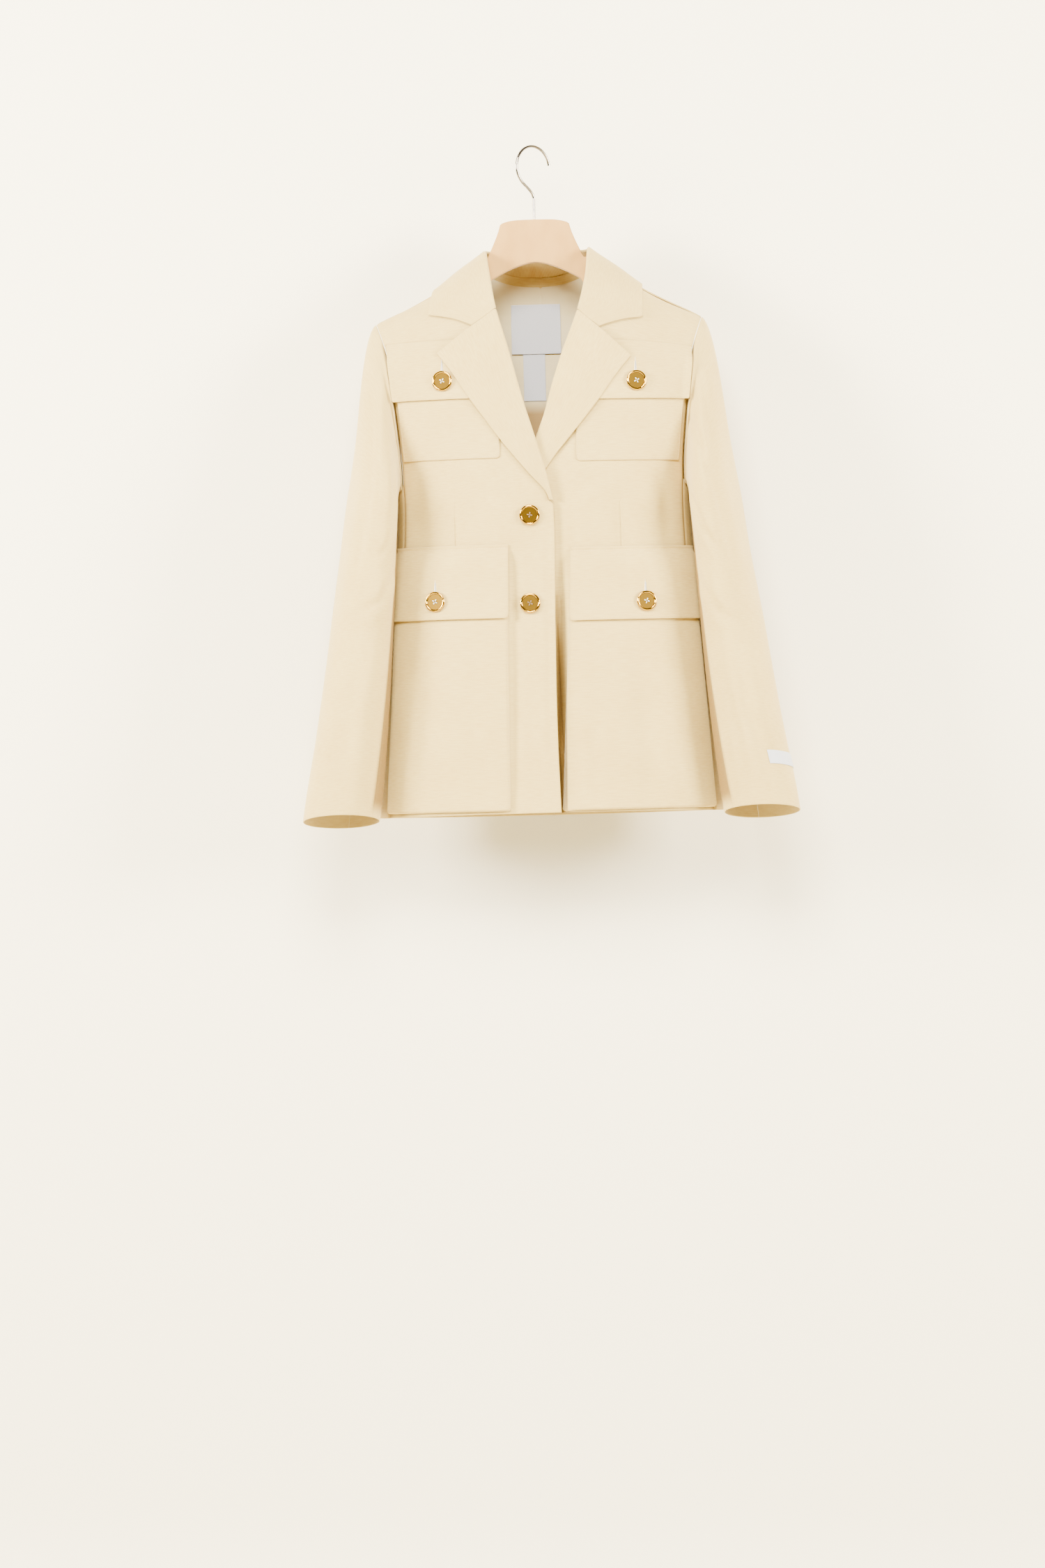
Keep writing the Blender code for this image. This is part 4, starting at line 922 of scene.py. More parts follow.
@dataclass
class Wall:
    """One piece of cloth: an outer and an inner face over a grid, closed round its edges.

    Edges are named by letters: i and o where u starts and ends, b and t where v does.

    Attributes:
        name: of the piece, and of the CAD node it stands for.
        place: function of (u, v, height) arrays that gives points in the row frame.
        across: grid lines of u.
        along: grid lines of v.
        size: width and length for the weave's coordinates, in metres.
        cut: the flat pattern.
        thick: of the wall.
        rounded: the edges that are turned and rounded.
        sewn: the edges that dip into a seam.
        finish: of the cloth.
        painted_shade: how deep in a crevice each place is, from 0 to 1, as a function of (u, v);
            the cloth is painted that much darker there.
        round_reach: how far in from a turned edge its rounding starts.
        seam_reach: how far in from a seam the cloth dips.
        seam_depth: how deep it dips.
    """

    name: str
    place: Surface
    across: Array
    along: Array
    size: tuple[float, float]
    cut: Cut
    thick: float = 1.1 * MM
    rounded: str = ""
    sewn: str = ""
    finish: Finish = Finish.CLOTH
    painted_shade: Callable[[Array, Array], Array] | None = None
    round_reach: float = 1.5 * MM
    seam_reach: float = 1.3 * MM
    seam_depth: float = 1.2 * MM
    round_share: float = 0.48  # of the thickness, that each face gives up at a turned edge
    sharp: float = 62.0  # degrees

    def heights(self, u: Array, v: Array) -> tuple[Array, Array]:
        """Heights of the outer and the inner face over the piece's own surface."""
        wide, tall = self.size
        gaps = {"i": u * wide, "o": (1 - u) * wide, "b": v * tall, "t": (1 - v) * tall}
        outer = np.zeros(np.shape(u))
        inner = np.full(np.shape(u), -self.thick)
        for edge, gap in gaps.items():
            if edge in self.rounded:
                share = 1 - clamp(gap / self.round_reach)
                drop = self.thick * self.round_share * (1 - np.sqrt(1 - share**2))
                outer = outer - drop
                inner = inner + drop
            if edge in self.sewn:
                outer = outer - self.seam_depth * bump(gap, self.seam_reach)
        return outer, inner

    def build(self) -> bpy.types.Object:
        """Make the closed wall."""
        wide, tall = self.size
        columns, rows = len(self.across) - 1, len(self.along) - 1
        bm = bmesh.new()
        bmesh.ops.create_grid(bm, x_segments=columns, y_segments=rows, size=0.5)
        uv = bm.loops.layers.uv.new("UVMap")
        for face in bm.faces:
            for loop in face.loops:
                i = round((loop.vert.co.x + 0.5) * columns)
                j = round((loop.vert.co.y + 0.5) * rows)
                loop[uv].uv = (self.across[i] * wide, self.along[j] * tall)
        doubled = bmesh.ops.extrude_face_region(bm, geom=bm.faces[:])
        hidden = {g for g in doubled["geom"] if isinstance(g, bmesh.types.BMVert)}
        bm.verts.index_update()
        spots = np.array([v.co for v in bm.verts])
        inside = np.array([v in hidden for v in bm.verts])
        u = self.across[np.rint((spots[:, 0] + 0.5) * columns).astype(int)]
        v = self.along[np.rint((spots[:, 1] + 0.5) * rows).astype(int)]
        outer, inner = self.heights(u, v)
        points = self.place(u, v, np.where(inside, inner, outer))
        for vert, point in zip(bm.verts, points):
            vert.co = point
        bmesh.ops.recalc_face_normals(bm, faces=bm.faces)
        mesh = mesh_of(bm, self.name, self.sharp)
        # the painted shade is stored on the mesh as a vertex attribute
        if self.painted_shade:
            depths = clamp(self.painted_shade(u, v)).astype(np.float32)
            mesh.attributes.new(PAINTED_SHADE, "FLOAT", "POINT").data.foreach_set("value", depths)
        made = keep(mesh, self.name, self.finish, [self.name])
        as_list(self.cut.rests_on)
        return made


# ---------------------------------------------------------------- panels of the body


@dataclass
class Panels:
    """Yokes, fronts, back and sides: what is cut from the body form.

    Attributes:
        form: the body form.
        step: grid spacing.
        darts: share of each front's width, from its edge, at which its dart runs.
        crevice: height of the fall beside the front edge at which its painted shade is full.
        painted_shade_by_sleeve: painted shade on a front's last few mm beside the sleeve.
        painted_shade_under_arm: painted shade on the side panel's front part.
        yoke_rows, back_rows: above 1, rows draw together towards the lower edge.
    """

    form: JacketForm
    step: float = GRID
    darts: dict[int, float] = field(default_factory=lambda: {RIGHT: 0.6585, LEFT: 0.6245})
    crevice: float = 19 * MM
    painted_shade_by_sleeve: float = 0.7
    painted_shade_under_arm: float = 0.5
    yoke_rows: float = 1.8
    back_rows: float = 1.25

    def yoke(self, side: int) -> None:
        """Make one shoulder yoke."""
        form = self.form

        def place(u: Array, v: Array, out: Array) -> Array:
            start = form.shoulder_z(lerp(form.neck_x, form.tip_x, u))
            low = form.yokes[side].z
            at_seam = lerp(form.inner_x(side, low), side * form.outer_x(low), u)
            z = lerp(start, form.yoke_z(side, at_seam) + form.seam / 2, (1 - v) ** self.yoke_rows)
            x = lerp(form.inner_x(side, z), side * form.outer_x(z), u)
            return form.hang(form.on_body(x, z, FRONT, out))

        wide, tall = size = (0.140, 0.090)
        Wall(
            f"yoke_{WORDS[side]}",
            place,
            spaced(wide, self.step, (False, False)),
            spaced(tall, self.step),
            size,
            cut(0.165, 0.115, 0.0118, "hanger_bar"),
            sewn="ob",
        ).build()

    def front(self, side: int) -> None:
        """Make one front, from the yoke seam to the hem and from its edge to the side seam."""
        form = self.form
        tall = form.yokes[side].z - form.hem

        def spot(u: Array, v: Array) -> tuple[Array, Array]:
            low = form.yokes[side].z
            at_seam = lerp(form.inner_x(side, low), side * form.outer_x(low), u)
            at_hem = lerp(form.inner_x(side, form.hem), side * form.outer_x(form.hem), u)
            top = form.yoke_z(side, at_seam) - form.seam / 2
            z = lerp(form.hem_z(at_hem, FRONT), top, v)
            return lerp(form.inner_x(side, z), side * (form.outer_x(z) - form.seam / 2), u), z

        def place(u: Array, v: Array, out: Array) -> Array:
            return form.hang(form.on_front(side, *spot(u, v), out))

        # painted shade beside the sleeve, and on the left front where it falls away behind the
        # front edge
        def painted_shade(u: Array, v: Array) -> Array:
            x, z = spot(u, v)
            shade = smoothstep((u - 0.970) / 0.03) * smoothstep((-0.300 - z) / 0.03)
            if side == RIGHT:
                return self.painted_shade_by_sleeve * shade
            fall = smoothstep(-form.under_relief.height(x, z) / self.crevice)
            return self.painted_shade_by_sleeve * shade + fall

        wide = 0.190
        Wall(
            f"front_{WORDS[side]}",
            place,
            spaced(wide, self.step, lines=(self.darts[side],)),
            spaced(tall, self.step),
            (0.205, tall),
            cut(0.290, tall + 0.010, 0.120, f"yoke_{WORDS[side]}", f"side_{WORDS[side]}"),
            thick=2.0 * MM,
            round_reach=2.6 * MM,
            rounded="ib",
            sewn="ot",
            painted_shade=painted_shade,
        ).build()

    def back(self, side: int) -> None:
        """Make one half of the back."""
        form = self.form

        def place(u: Array, v: Array, out: Array) -> Array:
            share = spread(u)
            top = form.back_top(form.tip_x * share)
            z = lerp(top, form.hem_z(0.2 * share, BACK), (1 - v) ** self.back_rows)
            middle = form.back_seam_x + side * form.seam / 2
            x = lerp(middle, side * (form.outer_x(z) - form.seam / 2), share)
            return form.hang(form.on_body(x, z, BACK, out))

        Wall(
            f"back_{WORDS[side]}",
            place,
            spaced(0.200, 1.15 * self.step),
            spaced(0.680, 1.3 * self.step, (True, False)),
            (0.205, 0.690),
            cut(0.240, 0.700, 0.142, "hanger_bar"),
            thick=1.5 * MM,
            rounded="b",
            sewn="io",
        ).build()

    def side(self, side: int) -> None:
        """Make the panel under one arm."""
        form = self.form

        def place(u: Array, v: Array, out: Array) -> Array:
            low, high = (form.seam_y(form.underarm_z, face) for face in (FRONT, BACK))
            z = lerp(form.hem - form.side_drop, form.underarm(lerp(low, high, u)), v)
            low, high = (form.seam_y(z, face) - face * form.seam / 2 for face in (FRONT, BACK))
            return form.hang(form.on_ring(side, lerp(low, high, u), z, out))

        wide, tall = size = (0.080, 0.405)
        Wall(
            f"side_{WORDS[side]}",
            place,
            spaced(wide, self.step),
            spaced(tall, 1.3 * self.step, (True, False)),
            size,
            cut(0.090, 0.410, 0.0318, f"back_{WORDS[side]}"),
            thick=1.5 * MM,
            rounded="b",
            sewn="iot",
            # painted shade on the side panel's front part, under the arm
            painted_shade=lambda u, v: self.painted_shade_under_arm * smoothstep((0.8 - u) / 0.4) * smoothstep(v / 0.03),
        ).build()

    def build(self) -> None:
        """Make all the panels."""
        for side in (RIGHT, LEFT):
            self.yoke(side)
            self.side(side)
            self.back(side)
            self.front(side)


# ---------------------------------------------------------------- sleeves


class SleeveSection(NamedTuple):
    """A sleeve's section at one height, of the left sleeve."""

    z: float
    inner_x: float
    outer_x: float
    y: float
    half_depth: float
    tilt: float
    dip: float


@dataclass
class Sleeves:
    """The two sleeves, each a tube from its armhole to an open cuff.

    A turn of 0 is a sleeve's outer edge, a quarter its front and a half the edge by the body.

    Attributes:
        form: the body form, whose armhole a sleeve starts from.
        reliefs: folds of each sleeve, at (turn times turn_scale, z).
        step: grid spacing.
        cap_share: share of the sleeve's rows above its first section.
        gap: from the armhole to the sleeve's first row.
        cap_start: pull of the cap's curve where it leaves the armhole.
        cap_end: the same where it meets the first section.
        wall: thickness of the cloth.
        turn_scale: metres round the sleeve, for its folds.
        seams: turns at each sleeve's front and back seam.
        seam_half: half the gap at a seam, as a turn.
        tall: length of the sleeve's weave.
        tuck_z: below this height the sleeve's front falls over the armhole.
        tuck: how far it dips at the armhole seam, within tuck_width.
        bulge: how far it swells below that, in tucks, around bulge_at within bulge_width.
        shade: strength of the painted shade in the crevices, beside the body and at the armhole.
    """

    form: JacketForm
    reliefs: dict[int, Relief]
    step: float = 3.6 * MM
    cap_share: float = 0.32
    gap: float = 0.3 * MM
    cap_start: float = 0.30
    cap_end: float = 0.85
    wall: float = 1.3 * MM
    turn_scale: float = 0.30
    seams: dict[int, tuple[float, float]] = field(
        default_factory=lambda: {RIGHT: (0.400, 0.720), LEFT: (0.395, 0.735)}
    )
    seam_half: float = 0.0003
    tall: float = 0.620
    tuck_z: float = -0.232
    tuck: float = 3.8 * MM
    tuck_width: float = 4 * MM
    bulge: float = 1.5
    bulge_at: float = 13 * MM
    bulge_width: float = 10 * MM
    shade: float = 0.9
    sections: tuple[SleeveSection, ...] = (
        SleeveSection(-0.450, 0.1790, 0.2465, -0.030, 0.068, 17, 0.00),
        SleeveSection(-0.510, 0.1830, 0.2545, -0.034, 0.064, 16, 0.00),
        SleeveSection(-0.585, 0.1880, 0.2660, -0.041, 0.059, 14, 0.03),
        SleeveSection(-0.650, 0.1925, 0.2755, -0.047, 0.055, 12, 0.07),
        SleeveSection(-0.725, 0.1990, 0.2870, -0.053, 0.050, 8, 0.12),
        SleeveSection(-0.795, 0.2065, 0.3000, -0.058, 0.044, 4, 0.18),
        SleeveSection(-0.827, 0.2110, 0.3050, -0.060, 0.041, 2, 0.21),
    )

    def __post_init__(self) -> None:
        """Turn the sections into smooth functions and run round the armholes."""
        names = SleeveSection._fields[1:]
        self.tables = {n: smooth([(s.z, getattr(s, n)) for s in self.sections]) for n in names}
        self.loops = {side: self.loop(side) for side in (RIGHT, LEFT)}

    def loop(self, side: int, samples: int = 400) -> tuple[Array, Array]:
        """The armhole as points from the shoulder down its front and up its back, with lengths."""
        form = self.form
        down = np.linspace(form.tip_z, form.underarm_z, samples)
        front = form.on_body(side * form.armhole_x(down), down, FRONT)
        low, high = (form.seam_y(form.underarm_z, face) for face in (FRONT, BACK))
        y = np.linspace(low, high, samples // 3)
        under = form.on_ring(side, y, form.underarm(y), 0.0)
        back = form.on_body(side * form.armhole_x(down[::-1]), down[::-1], BACK)
        points = np.concatenate([front, under, back])
        return points, lengths_along(points)

    def on_loop(self, side: int, turn: Array) -> Array:
        """The armhole's point at a share of the way round."""
        points, lengths = self.loops[side]
        at = (turn % 1.0) * lengths[-1]
        return stacked(*(np.interp(at, lengths, points[:, k]) for k in range(3)))

    def ring(self, side: int, z: Array, turn: Array, out: Array) -> Array:
        """A point of a section at a turn, at a height over it."""
        t = {name: value(z) for name, value in self.tables.items()}
        half_x = (t["outer_x"] - t["inner_x"]) / 2
        middle = (t["outer_x"] + t["inner_x"]) / 2
        tilt = np.radians(t["tilt"])
        sin, cos = np.sin(tilt), np.cos(tilt)
        thin = np.sqrt(half_x**2 - (t["half_depth"] * sin) ** 2) / cos + out
        along = (t["half_depth"] + out) * np.sin(2 * math.pi * turn)
        away = thin * np.cos(2 * math.pi * turn)
        y = -along * cos - away * sin
        return stacked(side * (middle - along * sin + away * cos), y + t["y"], z - t["dip"] * y)

    def relieved(self, side: int, turn: Array, v: Array, z: Array, start_z: Array) -> Array:
        """Height of the folds, and of the bulge below the armhole's seam in front."""
        wrapped = (turn + 0.5) % 1.0 - 0.5
        folds = self.reliefs[side].height(wrapped * self.turn_scale, z)
        folds = folds * smoothstep(v / 0.06) * smoothstep((0.5 - np.abs(wrapped)) / 0.08)
        down = v * self.tall
        bulge = self.bulge * bump(down - self.bulge_at, self.bulge_width)
        bulge = self.tuck * (bulge - bump(down, self.tuck_width))
        before = smoothstep(np.sin(2 * math.pi * turn) / 0.3)
        return folds + bulge * before * smoothstep((self.tuck_z - start_z) / 0.035)

    def place(self, side: int, turn: Array, v: Array, out: Array) -> Array:
        """A point of a sleeve at a share of the way down, at a height over it."""
        turn, v, out = arrays(turn, v, out)
        first, last = self.sections[0].z, self.sections[-1].z
        z = lerp(first, last, clamp((v - self.cap_share) / (1 - self.cap_share)))
        in_cap = v < self.cap_share
        loop = self.on_loop(side, turn)
        t = clamp(v / self.cap_share)
        shown_z = np.where(in_cap, lerp(loop[..., 2], first, t), z)
        out = out + self.relieved(side, turn, v, shown_z, loop[..., 2])
        sin, cos = np.sin(2 * math.pi * turn), np.cos(2 * math.pi * turn)
        away = unit(stacked(side * 0.7, -0.62 * sin, -0.42 * np.maximum(cos, -0.2)))
        start = loop + away * self.gap
        middle_z = lerp(self.form.tip_z, self.form.underarm_z, 0.5)
        outward = start - stacked(0.0, 0.0, middle_z)
        outward[..., 0] = 0.0
        start = start + unit(outward) * out[..., None]
        end = self.ring(side, np.full(np.shape(turn), first), turn, out)
        further = self.ring(side, np.full(np.shape(turn), first - 0.01), turn, out)
        span = np.linalg.norm(end - start, axis=-1, keepdims=True)
        leave = away * span * self.cap_start
        arrive = unit(further - end) * span * self.cap_end
        cap = hermite(t[..., None], start, leave, end, arrive)
        return np.where(in_cap[..., None], cap, self.ring(side, z, turn, out))

    def piece(
        self, side: int, word: str, turns: tuple[float, float], wide: float, cut: Cut
    ) -> None:
        """Make the top or the under sleeve, between two seams; its cuff's edge is turned."""

        def place(u: Array, v: Array, out: Array) -> Array:
            return self.form.hang(self.place(side, lerp(*turns, u), 1 - v, out))

        # painted shade where the sleeve lies by the body and just below the armhole seam in front
        def painted_shade(u: Array, v: Array) -> Array:
            turn = (lerp(*turns, u) + 0.25) % 1.0 - 0.25
            painted_shade_by_body = smoothstep((turn - 0.372) / 0.030) * smoothstep((0.64 - turn) / 0.08)
            painted_shade_by_body = painted_shade_by_body * smoothstep(v / 0.04) * smoothstep((0.86 - v) / 0.1)
            start_z = self.on_loop(side, turn)[..., 2]
            in_front = smoothstep((turn + 0.05) / 0.1) * smoothstep((0.6 - turn) / 0.1)
            painted_shade_by_armhole = bump((1 - v) * self.tall, 3.0 * MM) * in_front
            painted_shade_by_armhole = painted_shade_by_armhole * smoothstep((self.tuck_z - start_z) / 0.03)
            return self.shade * np.maximum(painted_shade_by_body, painted_shade_by_armhole)

        Wall(
            f"sleeve_{word}_{WORDS[side]}",
            place,
            spaced(wide, self.step),
            spaced(self.tall, self.step),
            (wide, self.tall),
            cut,
            thick=self.wall,
            round_reach=1.6 * MM,
            rounded="b",
            sewn="iot",
            seam_depth=0.7 * MM,
            painted_shade=painted_shade,
        ).build()

    def build(self) -> None:
        """Make both sleeves, each from its two pieces."""
        half = self.seam_half
        for side in (RIGHT, LEFT):
            yoke = f"yoke_{WORDS[side]}"
            front, back = self.seams[side]
            top, under = cut(0.225, 0.620, 0.118, yoke), cut(0.110, 0.560, 0.053, yoke)
            self.piece(side, "top", (back + half, 1 + front - half), 0.215, top)
            self.piece(side, "under", (front + half, back - half), 0.105, under)


# ---------------------------------------------------------------- lapels and collar


class LapelRow(NamedTuple):
    """One line across a lapel: where it leaves the roll, its tip and how it lifts."""

    roll_z: float
    edge_x: float
    edge_z: float
    lift: float


class CollarLeaf(NamedTuple):
    """The front end of the collar's fall, measured to the outside."""

    notch_x: float
    notch_z: float
    point_x: float
    point_z: float


@dataclass
class Fold:
    """A sheet that stands, rolls over and falls back, as grid columns along v.

    Attributes:
        form: the body form.
        gap: room inside the roll.
        wall: thickness of the cloth.
        stand: share of v before the roll.
        roll: share of v in the roll.
        settle: the fall has left the roll's height by 1 / settle of its width.
        round_reach: how far in from its edge the fall is rounded.
    """

    form: JacketForm
    gap: float = 1.6 * MM
    wall: float = 1.6 * MM
    stand: float = 0.03
    roll: float = 0.10
    settle: float = 1.6
    round_reach: float = 1.7 * MM

    def rolled(
        self, v: Array, out: Array, stand: Surface, fall: Surface, beside: Array, lift: Array,
        puff: float,
    ) -> Array:
        """Points of the sheet.

        Args:
            v: share of the way from the stand's edge to the fall's.
            out: height over the sheet's outer face.
            stand: places the stand at a share of its width and a height over the form.
            fall: places the fall in the same way; both start at the fold.
            beside: points on the form beside the fold, under the fall.
            lift: height of the fall's face over the form.
            puff: how much higher the middle of the fall swells.

        Returns:
            Points in the jacket's frame.
        """
        middle = self.gap / 2
        on_stand = stand(clamp(1 - v / self.stand), -self.wall - out)
        turn = math.pi * clamp((v - self.stand) / self.roll)
        radius = middle + self.wall + out
        zero = np.zeros(np.shape(v))
        fold = fall(zero, zero)
        normal = unit(fall(zero, zero + 1 * MM) - fold)
        away = beside - fold
        away = unit(away - normal * (away * normal).sum(-1, keepdims=True))
        sideways = (radius * np.sin(turn))[..., None]
        upwards = (middle - radius * np.cos(turn))[..., None]
        on_roll = fold - away * sideways + normal * upwards
        share = clamp((v - self.stand - self.roll) / (1 - self.stand - self.roll))
        height = self.gap + (lift - self.gap - self.wall) * smoothstep(share * self.settle)
        height = height + puff * np.sin(math.pi * share) ** 2
        on_fall = fall(share, height + self.wall + out)
        inside = (v < self.stand)[..., None]
        rolling = (v <= self.stand + self.roll)[..., None]
        return np.where(inside, on_stand, np.where(rolling, on_roll, on_fall))

    def columns(self, width: float) -> Array:
        """Grid lines of v: close in the roll and beside the fall's edge."""
        first = np.linspace(0.0, self.stand, 3)
        rolling = np.linspace(self.stand, self.stand + self.roll, 13)[1:]
        rest = 1 - self.stand - self.roll
        return np.concatenate(
            [first, rolling, self.stand + self.roll + rest * spaced(width, GRID)[1:]]
        )


LAPEL_ROWS = {
    RIGHT: (
        LapelRow(-0.2045, -0.1248, -0.2575, 0.0070), LapelRow(-0.2530, -0.1080, -0.2812, 0.0072),
        LapelRow(-0.2960, -0.0900, -0.3099, 0.0074), LapelRow(-0.3370, -0.0713, -0.3369, 0.0058),
        LapelRow(-0.3700, -0.0524, -0.3638, 0.0044), LapelRow(-0.4050, -0.0201, -0.4040, 0.0034),
        LapelRow(-0.4260, 0.0000, -0.4262, 0.0032), LapelRow(-0.4398, 0.0066, -0.4400, 0.0032),
    ),
    LEFT: (
        LapelRow(-0.2085, 0.1100, -0.2660, 0.0070), LapelRow(-0.2470, 0.0905, -0.2898, 0.0074),
        LapelRow(-0.2780, 0.0719, -0.3158, 0.0074), LapelRow(-0.3300, 0.0419, -0.3535, 0.0054),
        LapelRow(-0.3634, 0.0163, -0.3836, 0.0036), LapelRow(-0.3900, 0.0013, -0.4037, 0.0032),
        LapelRow(-0.4230, -0.0190, -0.4275, 0.0032), LapelRow(-0.4398, -0.0312, -0.4400, 0.0032),
    ),
}


@dataclass
class Lapels(Fold):
    """The two lapels, each from the gorge to where its roll ends; clear of the front by a gap."""

    clear: float = 0.4 * MM
    puff: float = 0.8 * MM
    rows: dict[int, tuple[LapelRow, ...]] = field(default_factory=lambda: LAPEL_ROWS)

    def lapel(self, side: int) -> None:
        """Make one lapel."""
        form = self.form
        rows = self.rows[side]
        ats = np.linspace(0.0, 1.0, len(rows))
        tables = [smooth(list(zip(ats, column))) for column in zip(*rows)]

        def place(u: Array, v: Array, out: Array) -> Array:
            z, tip_x, tip_z, lift = (table(1 - u) for table in tables)
            x = form.roll_x[side](z) + side * form.roll_radius

            def fall(share: Array, high: Array) -> Array:
                x_at, z_at = lerp(x, tip_x, share), lerp(z, tip_z, share)
                return form.on_front(side, x_at, z_at, high + self.clear)

            def stand(share: Array, high: Array) -> Array:
                inwards = x + side * (form.roll_stand - 0.2 * MM) * share
                return form.on_front(side, inwards, z, high + self.clear)

            beside = form.on_front(side, x + side * 1 * MM, z, self.clear)
            return form.hang(self.rolled(v, out, stand, fall, beside, lift, self.puff))

        Wall(
            f"lapel_{WORDS[side]}",
            place,
            spaced(0.260, GRID, (False, True)),
            self.columns(0.070),
            (0.250, 0.075),
            cut(0.110, 0.290, 0.0150, f"front_{WORDS[side]}", held="folded"),
            thick=self.wall,
            round_reach=self.round_reach,
            rounded="ot",
        ).build()

    def build(self) -> None:
        """Make both lapels."""
        for side in (RIGHT, LEFT):
            self.lapel(side)


@dataclass
class Collar(Fold):
    """The collar: stand, roll and fall in one, from one gorge round the neck to the other.

    A share t runs from a gorge at 0 over the shoulder to the centre back at 1.

    Attributes:
        point_at: share t at the collar's point.
        shoulder_at: share t at the shoulder seam.
        ridge_x: where the outer edge crosses the shoulder.
        back_z: height of the outer edge at the centre back.
        back_sag: how much lower the outer edge runs between shoulder and centre back.
        fold_x: where the fold crosses the shoulder.
        fold_z: height of the fold there.
        back_fold_z: the same at the centre back.
        lift: height of the fall's face over the form.
        neck_seam: gap between the stand and the neckline.
        notch_gap: gap between the collar and the lapel at the gorge.
    """

    point_at: float = 1 / 12
    shoulder_at: float = 0.50
    ridge_x: float = 0.127
    back_z: float = -0.1770
    back_sag: float = 4.0 * MM
    fold_x: float = 0.0620
    fold_z: float = -0.1270
    back_fold_z: float = -0.1250
    lift: float = 4.4 * MM
    puff: float = 0.5 * MM
    neck_seam: float = 0.4 * MM
    notch_gap: float = 0.2 * MM
    gorge_z: dict[int, float] = field(default_factory=lambda: {RIGHT: -0.2045, LEFT: -0.2085})
    leaves: dict[int, CollarLeaf] = field(
        default_factory=lambda: {
            RIGHT: CollarLeaf(0.0815, -0.2245, 0.1350, -0.2085),
            LEFT: CollarLeaf(0.0715, -0.2296, 0.1260, -0.2180),
        }
    )

    def front_lines(self, side: int, t: Array) -> tuple[tuple[Array, Array], ...]:
        """Panel edge, fold and outer edge as (x, slide), from the gorge to the shoulder."""
        form = self.form
        leaf = self.leaves[side]
        share = clamp(t / self.shoulder_at)
        gorge = self.gorge_z[side] + self.notch_gap
        z = lerp(gorge, self.fold_z, share)
        fold_x = np.abs(form.roll_x[side](z)) + form.roll_radius
        edge_z = lerp(gorge, form.neck_z, share)
        panel_x = np.abs(form.inner_x(side, edge_z)) - self.neck_seam
        notch = form.slide_of(leaf.notch_x, leaf.notch_z, FRONT)
        point = form.slide_of(leaf.point_x, leaf.point_z, FRONT)
        along = clamp(t / self.point_at)
        beyond = clamp((t - self.point_at) / (self.shoulder_at - self.point_at))
        return (
            (panel_x, form.slide_of(panel_x, edge_z, FRONT)),
            (fold_x, form.slide_of(fold_x, z, FRONT)),
            (
                lerp(lerp(leaf.notch_x, leaf.point_x, along), self.ridge_x, beyond),
                lerp(lerp(notch, point, along), 0.0, beyond),
            ),
        )

    def back_lines(self, t: Array) -> tuple[tuple[Array, Array], ...]:
        """The same from the shoulder to the centre back."""
        form = self.form
        share = clamp((t - self.shoulder_at) / (1 - self.shoulder_at))
        cos = np.cos(share * math.pi / 2)
        panel_x = (form.neck_x - self.neck_seam) * cos
        fold_x = (self.fold_x + form.roll_radius) * cos
        outer_x = self.ridge_x * cos
        panel_z = form.back_top(panel_x) + self.neck_seam
        fold_z = lerp(self.fold_z, self.back_fold_z, share) - form.roll_radius
        outer_z = lerp(form.shoulder_z(self.ridge_x), self.back_z, share)
        outer_z = outer_z - self.back_sag * np.sin(math.pi * share)
        places = ((panel_x, panel_z), (fold_x, fold_z), (outer_x, outer_z))
        return tuple((x, form.slide_of(x, z, BACK)) for x, z in places)

    def build(self) -> None:
        """Make the collar."""
        form = self.form

        def place(u: Array, v: Array, out: Array) -> Array:
            t = 1 - np.abs(2 * u - 1)
            side = np.where(u < 0.5, RIGHT, LEFT)
            runs = self.front_lines(RIGHT, t), self.front_lines(LEFT, t), self.back_lines(t)
            right, left, back = (np.array([arrays(*line) for line in lines]) for lines in runs)
            front = np.where(side == RIGHT, right, left)
            panel, fold, outer = np.where(t > self.shoulder_at, back, front)

            def fall(share: Array, high: Array) -> Array:
                x = side * lerp(fold[0], outer[0], share)
                return form.on_neck(x, lerp(fold[1], outer[1], share), high)

            def stand(share: Array, high: Array) -> Array:
                x = side * lerp(fold[0], panel[0], share)
                return form.on_neck(x, lerp(fold[1], panel[1], share), high)

            zero = np.zeros(np.shape(u))
            beside = fall(zero + 0.05, zero)
            return form.hang(self.rolled(v, out, stand, fall, beside, zero + self.lift, self.puff))

        Wall(
            "collar",
            place,
            spaced(0.500, GRID),
            self.columns(0.065),
            (0.500, 0.085),
            cut(
                0.480, 0.105, 0.0400,
                "back_left", "back_right", "yoke_left", "yoke_right", held="folded",
            ),
            thick=self.wall,
            round_reach=self.round_reach,
            rounded="iot",
        ).build()


# ---------------------------------------------------------------- pockets and flaps


class Kind(Enum):
    """What can lie on a front."""

    CHEST_POCKET = "chest_pocket"
    LOWER_POCKET = "lower_pocket"
    CHEST_FLAP = "chest_flap"
    LOWER_FLAP = "lower_flap"


